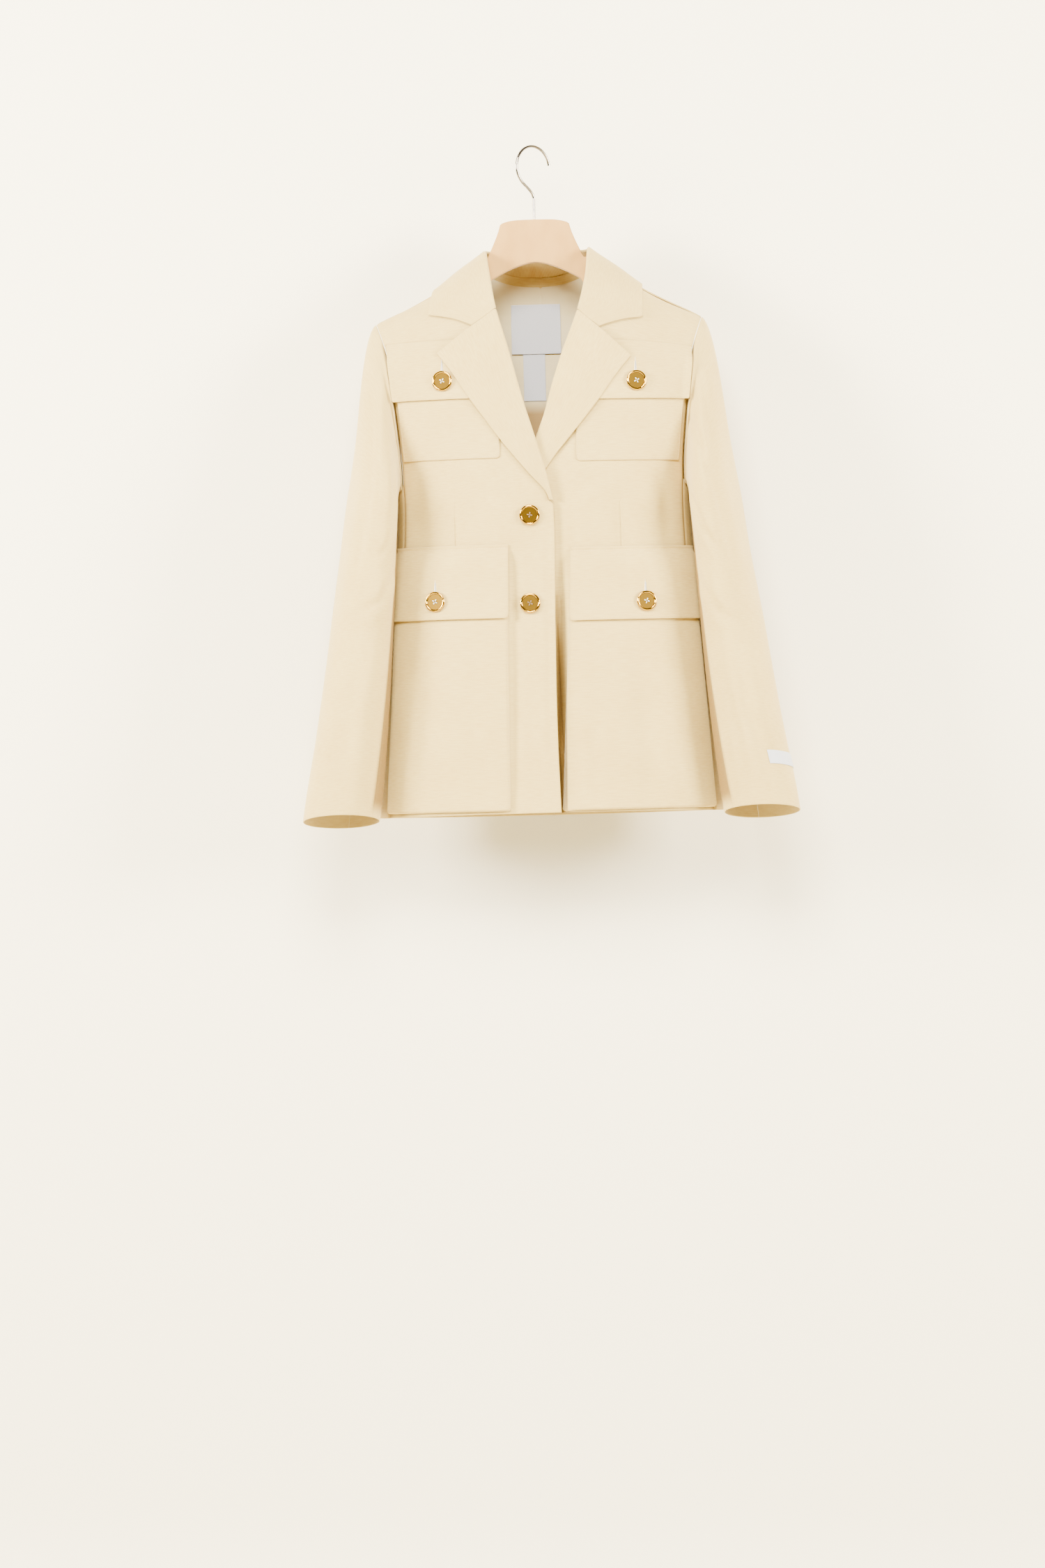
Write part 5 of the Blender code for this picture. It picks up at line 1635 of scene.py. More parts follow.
@dataclass(frozen=True)
class Patch:
    """A pocket or flap on one front.

    Attributes:
        corner: radius of its two lower corners.
    """

    inner_top: float
    inner_bottom: float
    outer_top: float
    outer_bottom: float
    top: float
    bottom: float
    corner: float = 4.0 * MM

    @property
    def width(self) -> float:
        """Width at the top."""
        return abs(self.outer_top - self.inner_top)

    def sides(self, v: Array) -> tuple[Array, Array]:
        """The two edges' x at a share of the height."""
        inner = lerp(self.inner_top, self.inner_bottom, 1 - v)
        return inner, lerp(self.outer_top, self.outer_bottom, 1 - v)

    def spot(self, u: Array, v: Array, top: Array) -> tuple[Array, Array]:
        """Place (x, z) on the patch, with its lower corners rounded."""
        inner, outer = self.sides(v)
        to_side = np.minimum(u, 1 - u) * np.abs(outer - inner)
        near = clamp(1 - to_side / self.corner)
        low = clamp(1 - v * np.abs(top - self.bottom) / (3 * self.corner))
        raised = self.corner * (1 - np.sqrt(1 - near**2)) * low
        return lerp(inner, outer, spread(u, ROUND_SIDE)), lerp(self.bottom, top, v) + raised


@dataclass
class Pockets:
    """Chest and lower pockets with their flaps.

    Attributes:
        form: the body form.
        lay: gap between a panel and what lies on it.
        pocket_wall: thickness of pocket cloth.
        flap_wall: thickness of a flap, two layers pressed together.
        side_lift: how much further a patch stands off where it turns round the side.
        hinge: height within which a flap rises onto its pocket.
        hinge_row: how far below a lower flap's top its row of stitches runs.
        gusset: how far the bellows hold a lower pocket's face off its panel.
        gusset_round: radius of that pocket's edges.
        chest_swell: how far a chest pocket or flap swells at its middle.
        lower_swell: the same of a lower one.
        free_lift: how far a flap's lower edge stands off.
        end_curl: how far a chest flap's outer end stands off at the armhole.
        turned_width: a patch's width round the form, in widths seen from the front.
        step: grid spacing.
    """

    form: JacketForm
    lay: float = 0.5 * MM
    pocket_wall: float = 1.5 * MM
    flap_wall: float = 1.9 * MM
    side_lift: float = 1.0 * MM
    hinge: float = 16 * MM
    hinge_row: float = 4.5 * MM
    gusset: float = 3.6 * MM
    gusset_round: float = 2.6 * MM
    chest_swell: float = 1.2 * MM
    lower_swell: float = 2.4 * MM
    free_lift: float = 1.6 * MM
    end_curl: float = 4.2 * MM
    turned_width: float = 1.06
    step: float = GRID
    patches: dict[tuple[Kind, int], Patch] = field(
        default_factory=lambda: {
            (Kind.CHEST_POCKET, RIGHT): Patch(-0.0524, -0.0524, -0.1790, -0.1690, -0.2680, -0.3875),
            (Kind.CHEST_POCKET, LEFT): Patch(0.0420, 0.0410, 0.1780, 0.1660, -0.2740, -0.3935),
            (Kind.LOWER_POCKET, RIGHT): Patch(-0.0465, -0.0500, -0.1780, -0.1980, -0.5120, -0.8195),
            (Kind.LOWER_POCKET, LEFT): Patch(0.0310, 0.0134, 0.1780, 0.1980, -0.5160, -0.8205),
            (Kind.CHEST_FLAP, RIGHT): Patch(-0.0820, -0.0830, -0.1870, -0.1775, 0.0, -0.3140),
            (Kind.CHEST_FLAP, LEFT): Patch(0.0640, 0.0660, 0.1860, 0.1765, 0.0, -0.3185),
            (Kind.LOWER_FLAP, RIGHT): Patch(-0.0450, -0.0465, -0.1790, -0.1850, -0.4930, -0.5840),
            (Kind.LOWER_FLAP, LEFT): Patch(0.0305, 0.0275, 0.1790, 0.1850, -0.4985, -0.5890),
        }
    )

    @property
    def pocket_face(self) -> float:
        """Height of a pocket's face over its panel."""
        return self.lay + self.pocket_wall

    def flap_face(self, down: Array) -> Array:
        """Height of a flap's face: it leaves the seam low and rises onto the pocket."""
        high = self.pocket_face + self.lay + self.flap_wall
        return lerp(self.lay + self.flap_wall, high, smoothstep(down / self.hinge))

    def top(self, kind: Kind, side: int, x: Array) -> Array:
        """Height of a patch's upper edge; a chest flap's is the yoke seam."""
        if kind is Kind.CHEST_FLAP:
            return self.form.yoke_z(side, x)
        return self.patches[kind, side].top

    def belly(self, u: Array, full: float) -> Array:
        """Swell of a patch across its width."""
        return full * np.sin(math.pi * clamp(u)) ** 0.7

    def chest_pocket_face(self, u: Array, v: Array) -> Array:
        """Face of a chest pocket."""
        swell = self.belly(u, self.chest_swell) * np.sin(math.pi * clamp(v))
        return self.pocket_face + swell

    def lower_pocket_face(self, side: int, u: Array, v: Array) -> Array:
        """Face of a lower pocket, held off its panel by the folded sides."""
        patch = self.patches[Kind.LOWER_POCKET, side]
        gaps = (u * patch.width, v * abs(patch.top - patch.bottom))
        boxes = [1 - clamp(gap / self.gusset_round) for gap in gaps]
        box = np.minimum(*(np.sqrt(1 - share**2) for share in boxes))
        swell = self.belly(u, self.lower_swell) * np.sin(math.pi * clamp(0.85 * v + 0.05))
        return self.pocket_face + self.gusset * box + swell

    def chest_flap_face(self, side: int, u: Array, v: Array, z: Array) -> Array:
        """Face of a chest flap; its outer end stands free."""
        top = self.top(Kind.CHEST_FLAP, side, self.patches[Kind.CHEST_FLAP, side].outer_top)
        swell = self.belly(u, self.chest_swell) * smoothstep(1.2 * (1 - v))
        curl = self.end_curl * smoothstep((u - 0.84) / 0.16) * smoothstep((0.95 - v) / 0.35)
        free = self.free_lift * smoothstep((0.55 - v) / 0.55)
        return self.flap_face(top - z) + swell + curl + free

    def lower_flap_face(self, side: int, u: Array, v: Array, z: Array) -> Array:
        """Face of a lower flap, over the bellows; sewn down again just below its seam."""
        down = self.patches[Kind.LOWER_FLAP, side].top - z
        over = self.gusset * smoothstep(down / (2 * self.hinge))
        swell = self.belly(u, self.lower_swell) * smoothstep(1.3 * (1 - v))
        free = self.free_lift * smoothstep((0.5 - v) / 0.5)
        sewn = 0.7 * MM * bump(down - self.hinge_row, 2.0 * MM) - 0.6 * MM * bump(down, 1.8 * MM)
        return self.flap_face(down) + over + swell + free - sewn

    def face(self, kind: Kind, side: int, u: Array, v: Array, z: Array) -> Array:
        """Height of a patch's face over its panel."""
        match kind:
            case Kind.CHEST_POCKET:
                own = self.chest_pocket_face(u, v)
            case Kind.LOWER_POCKET:
                own = self.lower_pocket_face(side, u, v)
            case Kind.CHEST_FLAP:
                own = self.chest_flap_face(side, u, v, z)
            case Kind.LOWER_FLAP:
                own = self.lower_flap_face(side, u, v, z)
        return own + self.side_lift * smoothstep((u - 0.6) / 0.4)

    def height_at(self, kind: Kind, side: int, x: float, z: float) -> float:
        """Height of a flap's face at a place on it."""
        patch = self.patches[kind, side]
        v = (z - patch.bottom) / (self.top(kind, side, x) - patch.bottom)
        inner, outer = patch.sides(v)
        u = unspread((x - inner) / (outer - inner), ROUND_SIDE)
        return float(self.face(kind, side, u, v, z))

    def patch(self, kind: Kind, side: int, rounded: str, sewn: str, wall: float, cut: Cut) -> None:
        """Make one patch.

        Args:
            kind: which patch.
            side: of the jacket.
            rounded: its turned edges.
            sewn: its edges in a seam.
            wall: its thickness.
            cut: its flat pattern.
        """
        patch = self.patches[kind, side]
        gap = self.form.seam if kind is Kind.CHEST_FLAP else 0.0
        wide = patch.width * self.turned_width
        middle_x = (patch.inner_top + patch.outer_top) / 2
        tall = float(self.top(kind, side, middle_x)) - gap - patch.bottom

        def place(u: Array, v: Array, out: Array) -> Array:
            top = self.top(kind, side, lerp(patch.inner_top, patch.outer_top, u)) - gap
            x, z = patch.spot(u, v, top)
            return self.form.hang(
                self.form.on_front(side, x, z, self.face(kind, side, u, v, z) + out)
            )

        Wall(
            f"{kind.value}_{WORDS[side]}",
            place,
            spaced(wide, self.step),
            spaced(tall, self.step),
            (wide, tall),
            cut,
            thick=wall,
            round_reach=1.9 * MM,
            rounded=rounded,
            sewn=sewn,
        ).build()

    def build(self) -> None:
        """Make the eight patches."""
        pocket, flap = self.pocket_wall, self.flap_wall
        for side in (RIGHT, LEFT):
            word = WORDS[side]
            front, chest, lower = f"front_{word}", f"chest_pocket_{word}", f"lower_pocket_{word}"
            for kind, rounded, sewn, wall, made_of in (
                (Kind.CHEST_POCKET, "iobt", "", pocket, cut(0.150, 0.135, 0.0178, front)),
                (Kind.LOWER_POCKET, "iobt", "", pocket, cut(0.195, 0.320, 0.0560, front)),
                (Kind.CHEST_FLAP, "iob", "t", flap, cut(0.130, 0.078, 0.0094, chest)),
                (Kind.LOWER_FLAP, "iobt", "", flap, cut(0.165, 0.098, 0.0150, lower)),
            ):
                self.patch(kind, side, rounded, sewn, wall, made_of)


# ---------------------------------------------------------------- neck inside and labels


@dataclass
class NeckInside:
    """What shows inside the back of the neck: band, lining and two bare labels.

    Attributes:
        form: the body form.
        face: the band's and the lining's face over the form, inwards.
        band_half: half the band's length.
        band_top: gap between the neckline and the band.
        band_bottom: how far below the neckline the band ends.
        lining_reach: how far to each side the lining goes.
        lining_to: height where the lining ends.
        lining_hang: how far the lining stays below the shoulder line.
    """

    form: JacketForm
    face: float = -2.1 * MM
    band_half: float = 0.070
    band_top: float = 0.4 * MM
    band_bottom: float = 11.2 * MM
    lining_reach: float = 0.165
    lining_to: float = -0.420
    lining_hang: float = 10.0 * MM

    def strip(
        self,
        name: str,
        edges: Callable[[Array, Array], tuple[Array, Array]],
        counts: tuple[int, int],
        size: tuple[float, float],
        piece_cut: Cut,
        face: float = 0.0,
        top_only: bool = False,
        **more: object,
    ) -> None:
        """Make a sheet on the inside of the back.

        Args:
            name: of the piece.
            edges: gives (x, z) of (u, v).
            counts: even spaces of its grid across and along.
            size: width and length for the weave.
            piece_cut: its flat pattern.
            face: how much further in than the lining its face is.
            top_only: whether only its upper edge needs close grid lines.
            more: further settings of the Wall.
        """

        def place(u: Array, v: Array, out: Array) -> Array:
            x, z = edges(u, v)
            return self.form.hang(self.form.on_body(x, z, BACK, self.face - face - out))

        across = stations(counts[0], size[0])
        along = stations(counts[1], size[1], (not top_only, True))
        Wall(name, place, across, along, size, piece_cut, **more).build()

    def label(
        self,
        name: str,
        x: float,
        top: float,
        size: tuple[float, float],
        counts: tuple[int, int],
        piece_cut: Cut,
        **more: object,
    ) -> None:
        """Make a bare label that hangs flat; x is its middle and size what is seen of it."""

        def edges(u: Array, v: Array) -> tuple[Array, Array]:
            return x + (u - 0.5) * size[0], top - (1 - v) * size[1]

        self.strip(
            name, edges, counts, size, piece_cut, rounded="iobt", finish=Finish.LABEL, **more
        )

    def build(self) -> None:
        """Make the band, the two linings and the two labels."""
        form = self.form

        def band(u: Array, v: Array) -> tuple[Array, Array]:
            x = lerp(-self.band_half, self.band_half, u)
            return x, form.back_top(x) - lerp(self.band_bottom, self.band_top, v)

        self.strip(
            "neck_facing",
            band,
            (48, 5),
            (0.150, self.band_bottom),
            cut(0.160, 0.014, 0.0019, "back_left", "back_right"),
            thick=0.8 * MM,
            sewn="b",
            seam_depth=0.35 * MM,
        )
        for side in (RIGHT, LEFT):

            def half(u: Array, v: Array, side: int = side) -> tuple[Array, Array]:
                middle = form.back_seam_x + side * 0.05 * MM
                x = lerp(middle, side * self.lining_reach, spread(u))
                below_band = np.where(np.abs(x) < form.neck_x, 11.6 * MM, 10.0 * MM)
                top = form.back_top(x) - below_band
                top = np.minimum(top, form.shoulder_z(x) - self.lining_hang)
                return x, lerp(self.lining_to, top, v)

            self.strip(
                f"lining_{WORDS[side]}",
                half,
                (44, 60),
                (self.lining_reach, 0.250),
                cut(0.185, 0.285, 0.0440, f"back_{WORDS[side]}"),
                top_only=True,
                finish=Finish.LINING,
                thick=0.6 * MM,
                sewn="it",
                seam_depth=0.45 * MM,
            )
        self.label(
            "neck_label",
            -3.6 * MM,
            -0.1880,
            (0.062, 0.062), (12, 12),
            cut(0.064, 0.064, None, "lining_left", "lining_right"),
            face=2.6 * MM,
            thick=0.7 * MM,
            round_reach=0.9 * MM,
        )
        self.label(
            "size_label",
            -6.8 * MM,
            -0.2300,
            (0.0275, 0.0785), (8, 18),
            cut(0.0275, 0.079, None, "neck_label"),
            face=1.2 * MM,
            thick=0.5 * MM,
            round_reach=0.7 * MM,
        )


@dataclass
class SleeveLabel:
    """A small woven label sewn round the outer edge of the left sleeve, left bare."""

    form: JacketForm
    sleeves: Sleeves
    top: float = -0.7590
    wide: float = 0.045
    tall: float = 0.0170
    turns: tuple[float, float] = (1 + 64 / 360, 1 - 12 / 360)
    lift: float = 0.9 * MM

    def build(self) -> None:
        """Make the label."""
        sleeves = self.sleeves
        first, last = sleeves.sections[0].z, sleeves.sections[-1].z

        def place(u: Array, v: Array, out: Array) -> Array:
            share = (lerp(self.top - self.tall, self.top, v) - first) / (last - first)
            down = sleeves.cap_share + share * (1 - sleeves.cap_share)
            return self.form.hang(sleeves.place(LEFT, lerp(*self.turns, u), down, out + self.lift))

        Wall(
            "sleeve_label",
            place,
            stations(22, self.wide),
            stations(6, self.tall),
            (self.wide, self.tall),
            cut(0.050, 0.018, None, "sleeve_top_left"),
            thick=0.6 * MM,
            rounded="iobt",
            round_reach=0.8 * MM,
            finish=Finish.LABEL,
        ).build()


# ---------------------------------------------------------------- sewing


@dataclass
class Seams:
    """Stitches that show, each run one mesh of short spindles of thread.

    Attributes:
        pitch: from one stitch to the next.
        length: of a stitch.
        radius: of the thread.
        sides: of a spindle's section.
        levels: a spindle's rings: share of its length, lift and fullness, both in radii.
    """

    pitch: float = 3.0 * MM
    length: float = 2.2 * MM
    radius: float = 0.22 * MM
    sides: int = 6
    levels: tuple[tuple[float, float, float], ...] = (
        (0.0, -0.9, 0.55), (0.22, 0.1, 0.95), (0.5, 0.35, 1.0), (0.78, 0.1, 0.95), (1.0, -0.9, 0.55)
    )

    def spindle(
        self, bm: bmesh.types.BMesh, start: Vector, end: Vector, normal: Vector, radius: float
    ) -> None:
        """Add one stitch: a bar of thread that dives into the cloth at both ends."""
        side = normal.cross((end - start).normalized()).normalized()
        rings = []
        for share, lift, full in self.levels:
            middle = start + (end - start) * share + normal * (radius * lift)
            ring = []
            for k in range(self.sides):
                angle = 2 * math.pi * k / self.sides
                offset = side * math.cos(angle) + normal * math.sin(angle)
                ring.append(bm.verts.new(middle + offset * radius * full))
            rings.append(ring)
        for a, b in zip(rings, rings[1:]):
            for k in range(self.sides):
                n = (k + 1) % self.sides
                bm.faces.new((a[k], a[n], b[n], b[k]))
        bm.faces.new(rings[0][::-1])
        bm.faces.new(rings[-1])

    def run(self, bm: bmesh.types.BMesh, points: Array, normals: Array) -> None:
        """Lay stitches along a line of points with their outward normals."""
        lengths = lengths_along(points)

        def at(place: float, rows: Array) -> Vector:
            return Vector([float(np.interp(place, lengths, column)) for column in rows.T])

        for k in range(int(lengths[-1] / self.pitch)):
            first = k * self.pitch
            normal = at(first, normals).normalized()
            ends = at(first, points), at(first + self.length, points)
            self.spindle(bm, *ends, normal, self.radius)

    def finish(self, bm: bmesh.types.BMesh, name: str, finish: Finish) -> None:
        """Turn a mesh of stitches into a piece."""
        bmesh.ops.recalc_face_normals(bm, faces=bm.faces)
        keep(mesh_of(bm, name), name, finish)


def with_normals(place: Callable[[Array], Array]) -> tuple[Array, Array]:
    """Points of a line and their outward normals, from a function of the height over it."""
    base = place(0.0)
    return base, unit(place(1 * MM) - base)


@dataclass
class Topstitching:
    """Edge stitching of the pockets and the rows that hold the lower flaps.

    Attributes:
        form: the body form.
        pockets: what is stitched.
        inset: from an edge to its stitches.
        corner: the stitching cuts the rounded corners by this many insets.
        under_flap: the stitching starts this far below the flap that hides it.
        lift: of the stitches over the cloth.
    """

    form: JacketForm
    pockets: Pockets
    inset: float = 1.6 * MM
    corner: float = 2.4
    under_flap: float = 2 * MM
    lift: float = 0.05 * MM

    def on_patch(
        self, kind: Kind, side: int, share: Array, v: Array, place: tuple[Array, Array] | None
    ) -> tuple[Array, Array]:
        """Points and outward normals of a line on a patch, at even shares of its width."""
        u = unspread(share, ROUND_SIDE)
        x, z = place or self.pockets.patches[kind, side].spot(
            u, v, self.pockets.patches[kind, side].top
        )
        high = self.pockets.face(kind, side, u, v, z) + self.lift
        return with_normals(lambda out: self.form.hang(self.form.on_front(side, x, z, high + out)))

    def outline(self, kind: Kind, side: int, edges: str) -> tuple[Array, Array]:
        """A line just inside a pocket's edges.

        Args:
            kind: which pocket.
            side: of the jacket.
            edges: which edges, in order: i for inner, b for bottom, o for outer.

        Returns:
            Points and outward normals.
        """
        patches = self.pockets.patches
        patch = patches[kind, side]
        flap = patches[Kind.CHEST_FLAP if kind is Kind.CHEST_POCKET else Kind.LOWER_FLAP, side]
        tall = patch.top - patch.bottom
        near, low = self.inset / patch.width, self.inset / tall
        high = (flap.bottom - self.under_flap - patch.bottom) / tall
        runs = {
            "i": ((near, high), (near, self.corner * low)),
            "b": ((self.corner * near, low), (1 - self.corner * near, low)),
            "o": ((1 - near, self.corner * low), (1 - near, high)),
        }
        share, v = np.concatenate([np.linspace(*runs[edge], 60) for edge in edges]).T
        return self.on_patch(kind, side, share, v, None)

    def hinge_line(self, side: int) -> tuple[Array, Array]:
        """The row of stitches that holds a lower flap, below its upper edge."""
        patch = self.pockets.patches[Kind.LOWER_FLAP, side]
        down = self.pockets.hinge_row
        share = np.linspace(0.03, 0.97, 80)
        v = 1 - down / (patch.top - patch.bottom)
        place = lerp(patch.inner_top, patch.outer_top, share), patch.top - down
        return self.on_patch(Kind.LOWER_FLAP, side, share, v, place)

    def build(self) -> None:
        """Lay all the runs."""
        seams = Seams()
        bm = bmesh.new()
        for side in (RIGHT, LEFT):
            seams.run(bm, *self.outline(Kind.CHEST_POCKET, side, "ibo"))
            seams.run(bm, *self.outline(Kind.LOWER_POCKET, side, "i"))
            seams.run(bm, *self.hinge_line(side))
        seams.finish(bm, "pocket_stitching", Finish.STITCH)


class ButtonPlace(NamedTuple):
    """Where a button sits and what carries it, None for the front itself."""

    name: str
    side: int
    carrier: Kind | None
    x: float
    z: float
    hole_top: float  # how far above the button's middle its hole ends, 0 for none
    turn: float


@dataclass
class Buttons:
    """Turned and plated buttons with four holes, their thread, and the holes they are through.

    Attributes:
        form: the body form.
        pockets: what carries the flaps' buttons.
        radius: of a button.
        rim: width of its rim.
        thick: its height at the rim.
        well: its height in the well.
        well_rings: rings of the well's grid.
        rim_rings: rings of the rim's bead.
        clear: gap between a button and the cloth.
        hole: radius of a hole.
        hole_from: from the middle to a hole, across and along.
        strand: from one strand of the thread to the next.
        strand_from, strand_to: from the middle to a strand's two ends.
        strand_radius, knot_radius: of a strand and of the dark knot between them, which is painted
            shade for the dark middle between the holes.
        knot: half the knot's length.
        stitch: from one stitch of a buttonhole to the next.
        gap: how far the buttonhole's stitches stand off.
    """

    form: JacketForm
    pockets: Pockets
    radius: float = 12.5 * MM
    rim: float = 3.1 * MM
    thick: float = 3.7 * MM
    well: float = 2.2 * MM
    well_rings: int = 16
    rim_rings: int = 14
    clear: float = 0.6 * MM
    hole: float = 0.95 * MM
    hole_from: float = 1.75 * MM
    strand: float = 0.38 * MM
    strand_from: float = 3.3 * MM
    strand_to: float = 0.9 * MM
    strand_radius: float = 0.32 * MM
    knot: float = 1.1 * MM
    knot_radius: float = 0.5 * MM
    stitch: float = 0.45 * MM
    gap: float = 0.12 * MM
    places: tuple[ButtonPlace, ...] = (
        ButtonPlace("button_chest_right", RIGHT, Kind.CHEST_FLAP, -0.1195, -0.2915, 0.0285, 0.10),
        ButtonPlace("button_chest_left", LEFT, Kind.CHEST_FLAP, 0.1157, -0.2965, 0.0285, -0.12),
        ButtonPlace("button_front_upper", RIGHT, None, -0.0181, -0.4576, 0.0, 0.62),
        ButtonPlace("button_front_lower", RIGHT, None, -0.0201, -0.5658, 0.0, 0.35),
        ButtonPlace("button_pocket_right", RIGHT, Kind.LOWER_FLAP, -0.1326, -0.5617, 0.0270, 0.0),
        ButtonPlace("button_pocket_left", LEFT, Kind.LOWER_FLAP, 0.1194, -0.5669, 0.0270, 0.75),
    )

    def seat(self, spot: ButtonPlace) -> tuple[Matrix, Vector]:
        """Where a button stands, as a matrix, and the way it faces."""
        high = self.clear
        if spot.carrier:
            high += self.pockets.height_at(spot.carrier, spot.side, spot.x, spot.z)
        base, ahead = (
            self.form.hang(self.form.on_front(spot.side, spot.x, spot.z, high + out))
            for out in (0.0, 5 * MM)
        )
        facing = Vector(ahead - base).normalized()
        stand = Vector((0, 0, 1)).rotation_difference(facing).to_matrix().to_4x4()
        return Matrix.Translation(Vector(base)) @ stand @ Matrix.Rotation(spot.turn, 4, "Z"), facing

    def profile(self) -> list[tuple[float, float]]:
        """A button's section as (radius, height): well, bead of the rim, back."""
        inner, bead = self.radius - self.rim, self.rim / 2
        points = [(k / self.well_rings * inner, self.well) for k in range(self.well_rings + 1)]
        low = self.well - 0.1 * MM
        for k in range(1, self.rim_rings + 1):
            angle = math.radians(lerp(172.0, -30.0, k / self.rim_rings))
            height = low + (self.thick - low) * math.sin(angle)
            points.append((self.radius - bead + bead * math.cos(angle), height))
        back = [(self.radius - 1.2 * MM, 0.3 * MM), (self.radius - 2.4 * MM, 0.0), (0.0, 0.0)]
        return points + back

    def disc(self, spot: ButtonPlace, steps: int = 72) -> None:
        """Make the button itself, with its four holes pressed into the well."""
        inner = self.radius - self.rim
        bm = bmesh.new()
        verts = [bm.verts.new((r, 0, h)) for r, h in self.profile()]
        bmesh.ops.spin(
            bm,
            geom=verts + [bm.edges.new(pair) for pair in zip(verts, verts[1:])],
            cent=(0, 0, 0),
            axis=(0, 0, 1),
            angle=2 * math.pi,
            steps=steps,
            use_merge=True,
        )
        bmesh.ops.remove_doubles(bm, verts=bm.verts, dist=1e-6)
        for vert in bm.verts:
            if vert.co.z < self.well * 0.9 or vert.co.xy.length > 0.6 * inner:
                continue
            away = (abs(abs(c) - self.hole_from) for c in vert.co.xy)
            if math.hypot(*away) < self.hole:
                vert.co.z -= self.well * 0.75
        bmesh.ops.recalc_face_normals(bm, faces=bm.faces)
        # faces of the well take the second, darker gold, a painted shade
        for face in bm.faces:
            if face.calc_center_median().xy.length < inner and face.normal.z > 0.2:
                face.material_index = 1
        bmesh.ops.transform(bm, matrix=self.seat(spot)[0], verts=bm.verts)
        mesh = mesh_of(bm, spot.name, 50.0)
        mesh.materials.append(Finish.GOLD_RIM.material())
        mesh.materials.append(Finish.GOLD_WELL.material())
        keep(mesh, spot.name, Finish.GOLD_RIM, [spot.name])

    def thread(self, spot: ButtonPlace) -> None:
        """Sew the button on: strands run from the four holes to a knot in the middle, of dark
        thread as painted shade.
        """
        seams = Seams()
        whole, facing = self.seat(spot)
        bm, knot = bmesh.new(), bmesh.new()
        for quarter in range(4):
            angle = math.pi * (quarter + 0.5) / 2
            ahead = Vector((math.cos(angle), math.sin(angle), 0))
            beside = Vector((-ahead.y, ahead.x, 0))
            for shift in (-self.strand, 0.0, self.strand):
                level = Vector((0, 0, self.well + (0.45 if shift else 0.7) * MM))
                start = whole @ (ahead * self.strand_from + beside * shift * 1.2 + level)
                end = whole @ (ahead * self.strand_to + beside * shift * 0.7 + level)
                seams.spindle(bm, start, end, facing, self.strand_radius)
            # the knot is dark thread: painted shade for the middle between the holes
            low = Vector((0, 0, self.well + 0.15 * MM))
            ends = (whole @ (ahead * reach + low) for reach in (-self.knot, self.knot))
            seams.spindle(knot, *ends, facing, self.knot_radius)
        shank = Finish.SHANK if spot.carrier else Finish.SHANK_DARK
        seams.finish(bm, f"{spot.name}_thread", shank)
        seams.finish(knot, f"{spot.name}_knot", Finish.PAINTED_SHADE_THREAD)

    def buttonhole(self, spot: ButtonPlace) -> None:
        """Work the hole that shows above a flap's button: close cross stitches, and dark thread in
        its slit as painted shade.
        """
        seams = Seams(radius=0.27 * MM)
        bm, slit_shade = bmesh.new(), bmesh.new()
        low, high = spot.z + self.radius * 0.8, spot.z + spot.hole_top
        count = int((high - low) / self.stitch)
        last = None
        for share in (k / (count - 1) for k in range(count)):
            z = lerp(low, high, share)
            lift = self.pockets.height_at(spot.carrier, spot.side, spot.x, z) + self.gap
            wide = lerp(1.0, 0.15, share**1.3)  # the stitches shorten to the hole's upper end
            xs = spot.x + np.array([-1.75 * wide - 0.05, -0.1, 0.42, 0.46 + 0.75 * wide]) * MM
            points, normals = with_normals(
                lambda out, xs=xs, z=z, lift=lift: self.form.hang(
                    self.form.on_front(spot.side, xs, z, lift + out)
                )
            )
            a, b, c, d = (Vector(point) for point in points)
            normal = Vector(normals[0])
            seams.spindle(bm, a, b, normal, seams.radius)
            if share < 0.8:
                seams.spindle(bm, c, d, normal, seams.radius * 0.8)
                # painted shade: dark thread laid along the slit
                middle = (b + c) / 2 + normal * 0.05 * MM
                if last:
                    seams.spindle(slit_shade, last, middle, normal, 0.2 * MM)
                last = middle
        seams.finish(bm, f"{spot.name}_hole", Finish.HOLE)
        seams.finish(slit_shade, f"{spot.name}_slit", Finish.PAINTED_SHADE_THREAD)

    def build(self) -> None:
        """Make every button with its thread and hole."""
        for spot in self.places:
            self.disc(spot)
            self.thread(spot)
            if spot.hole_top:
                self.buttonhole(spot)


# ---------------------------------------------------------------- hanger


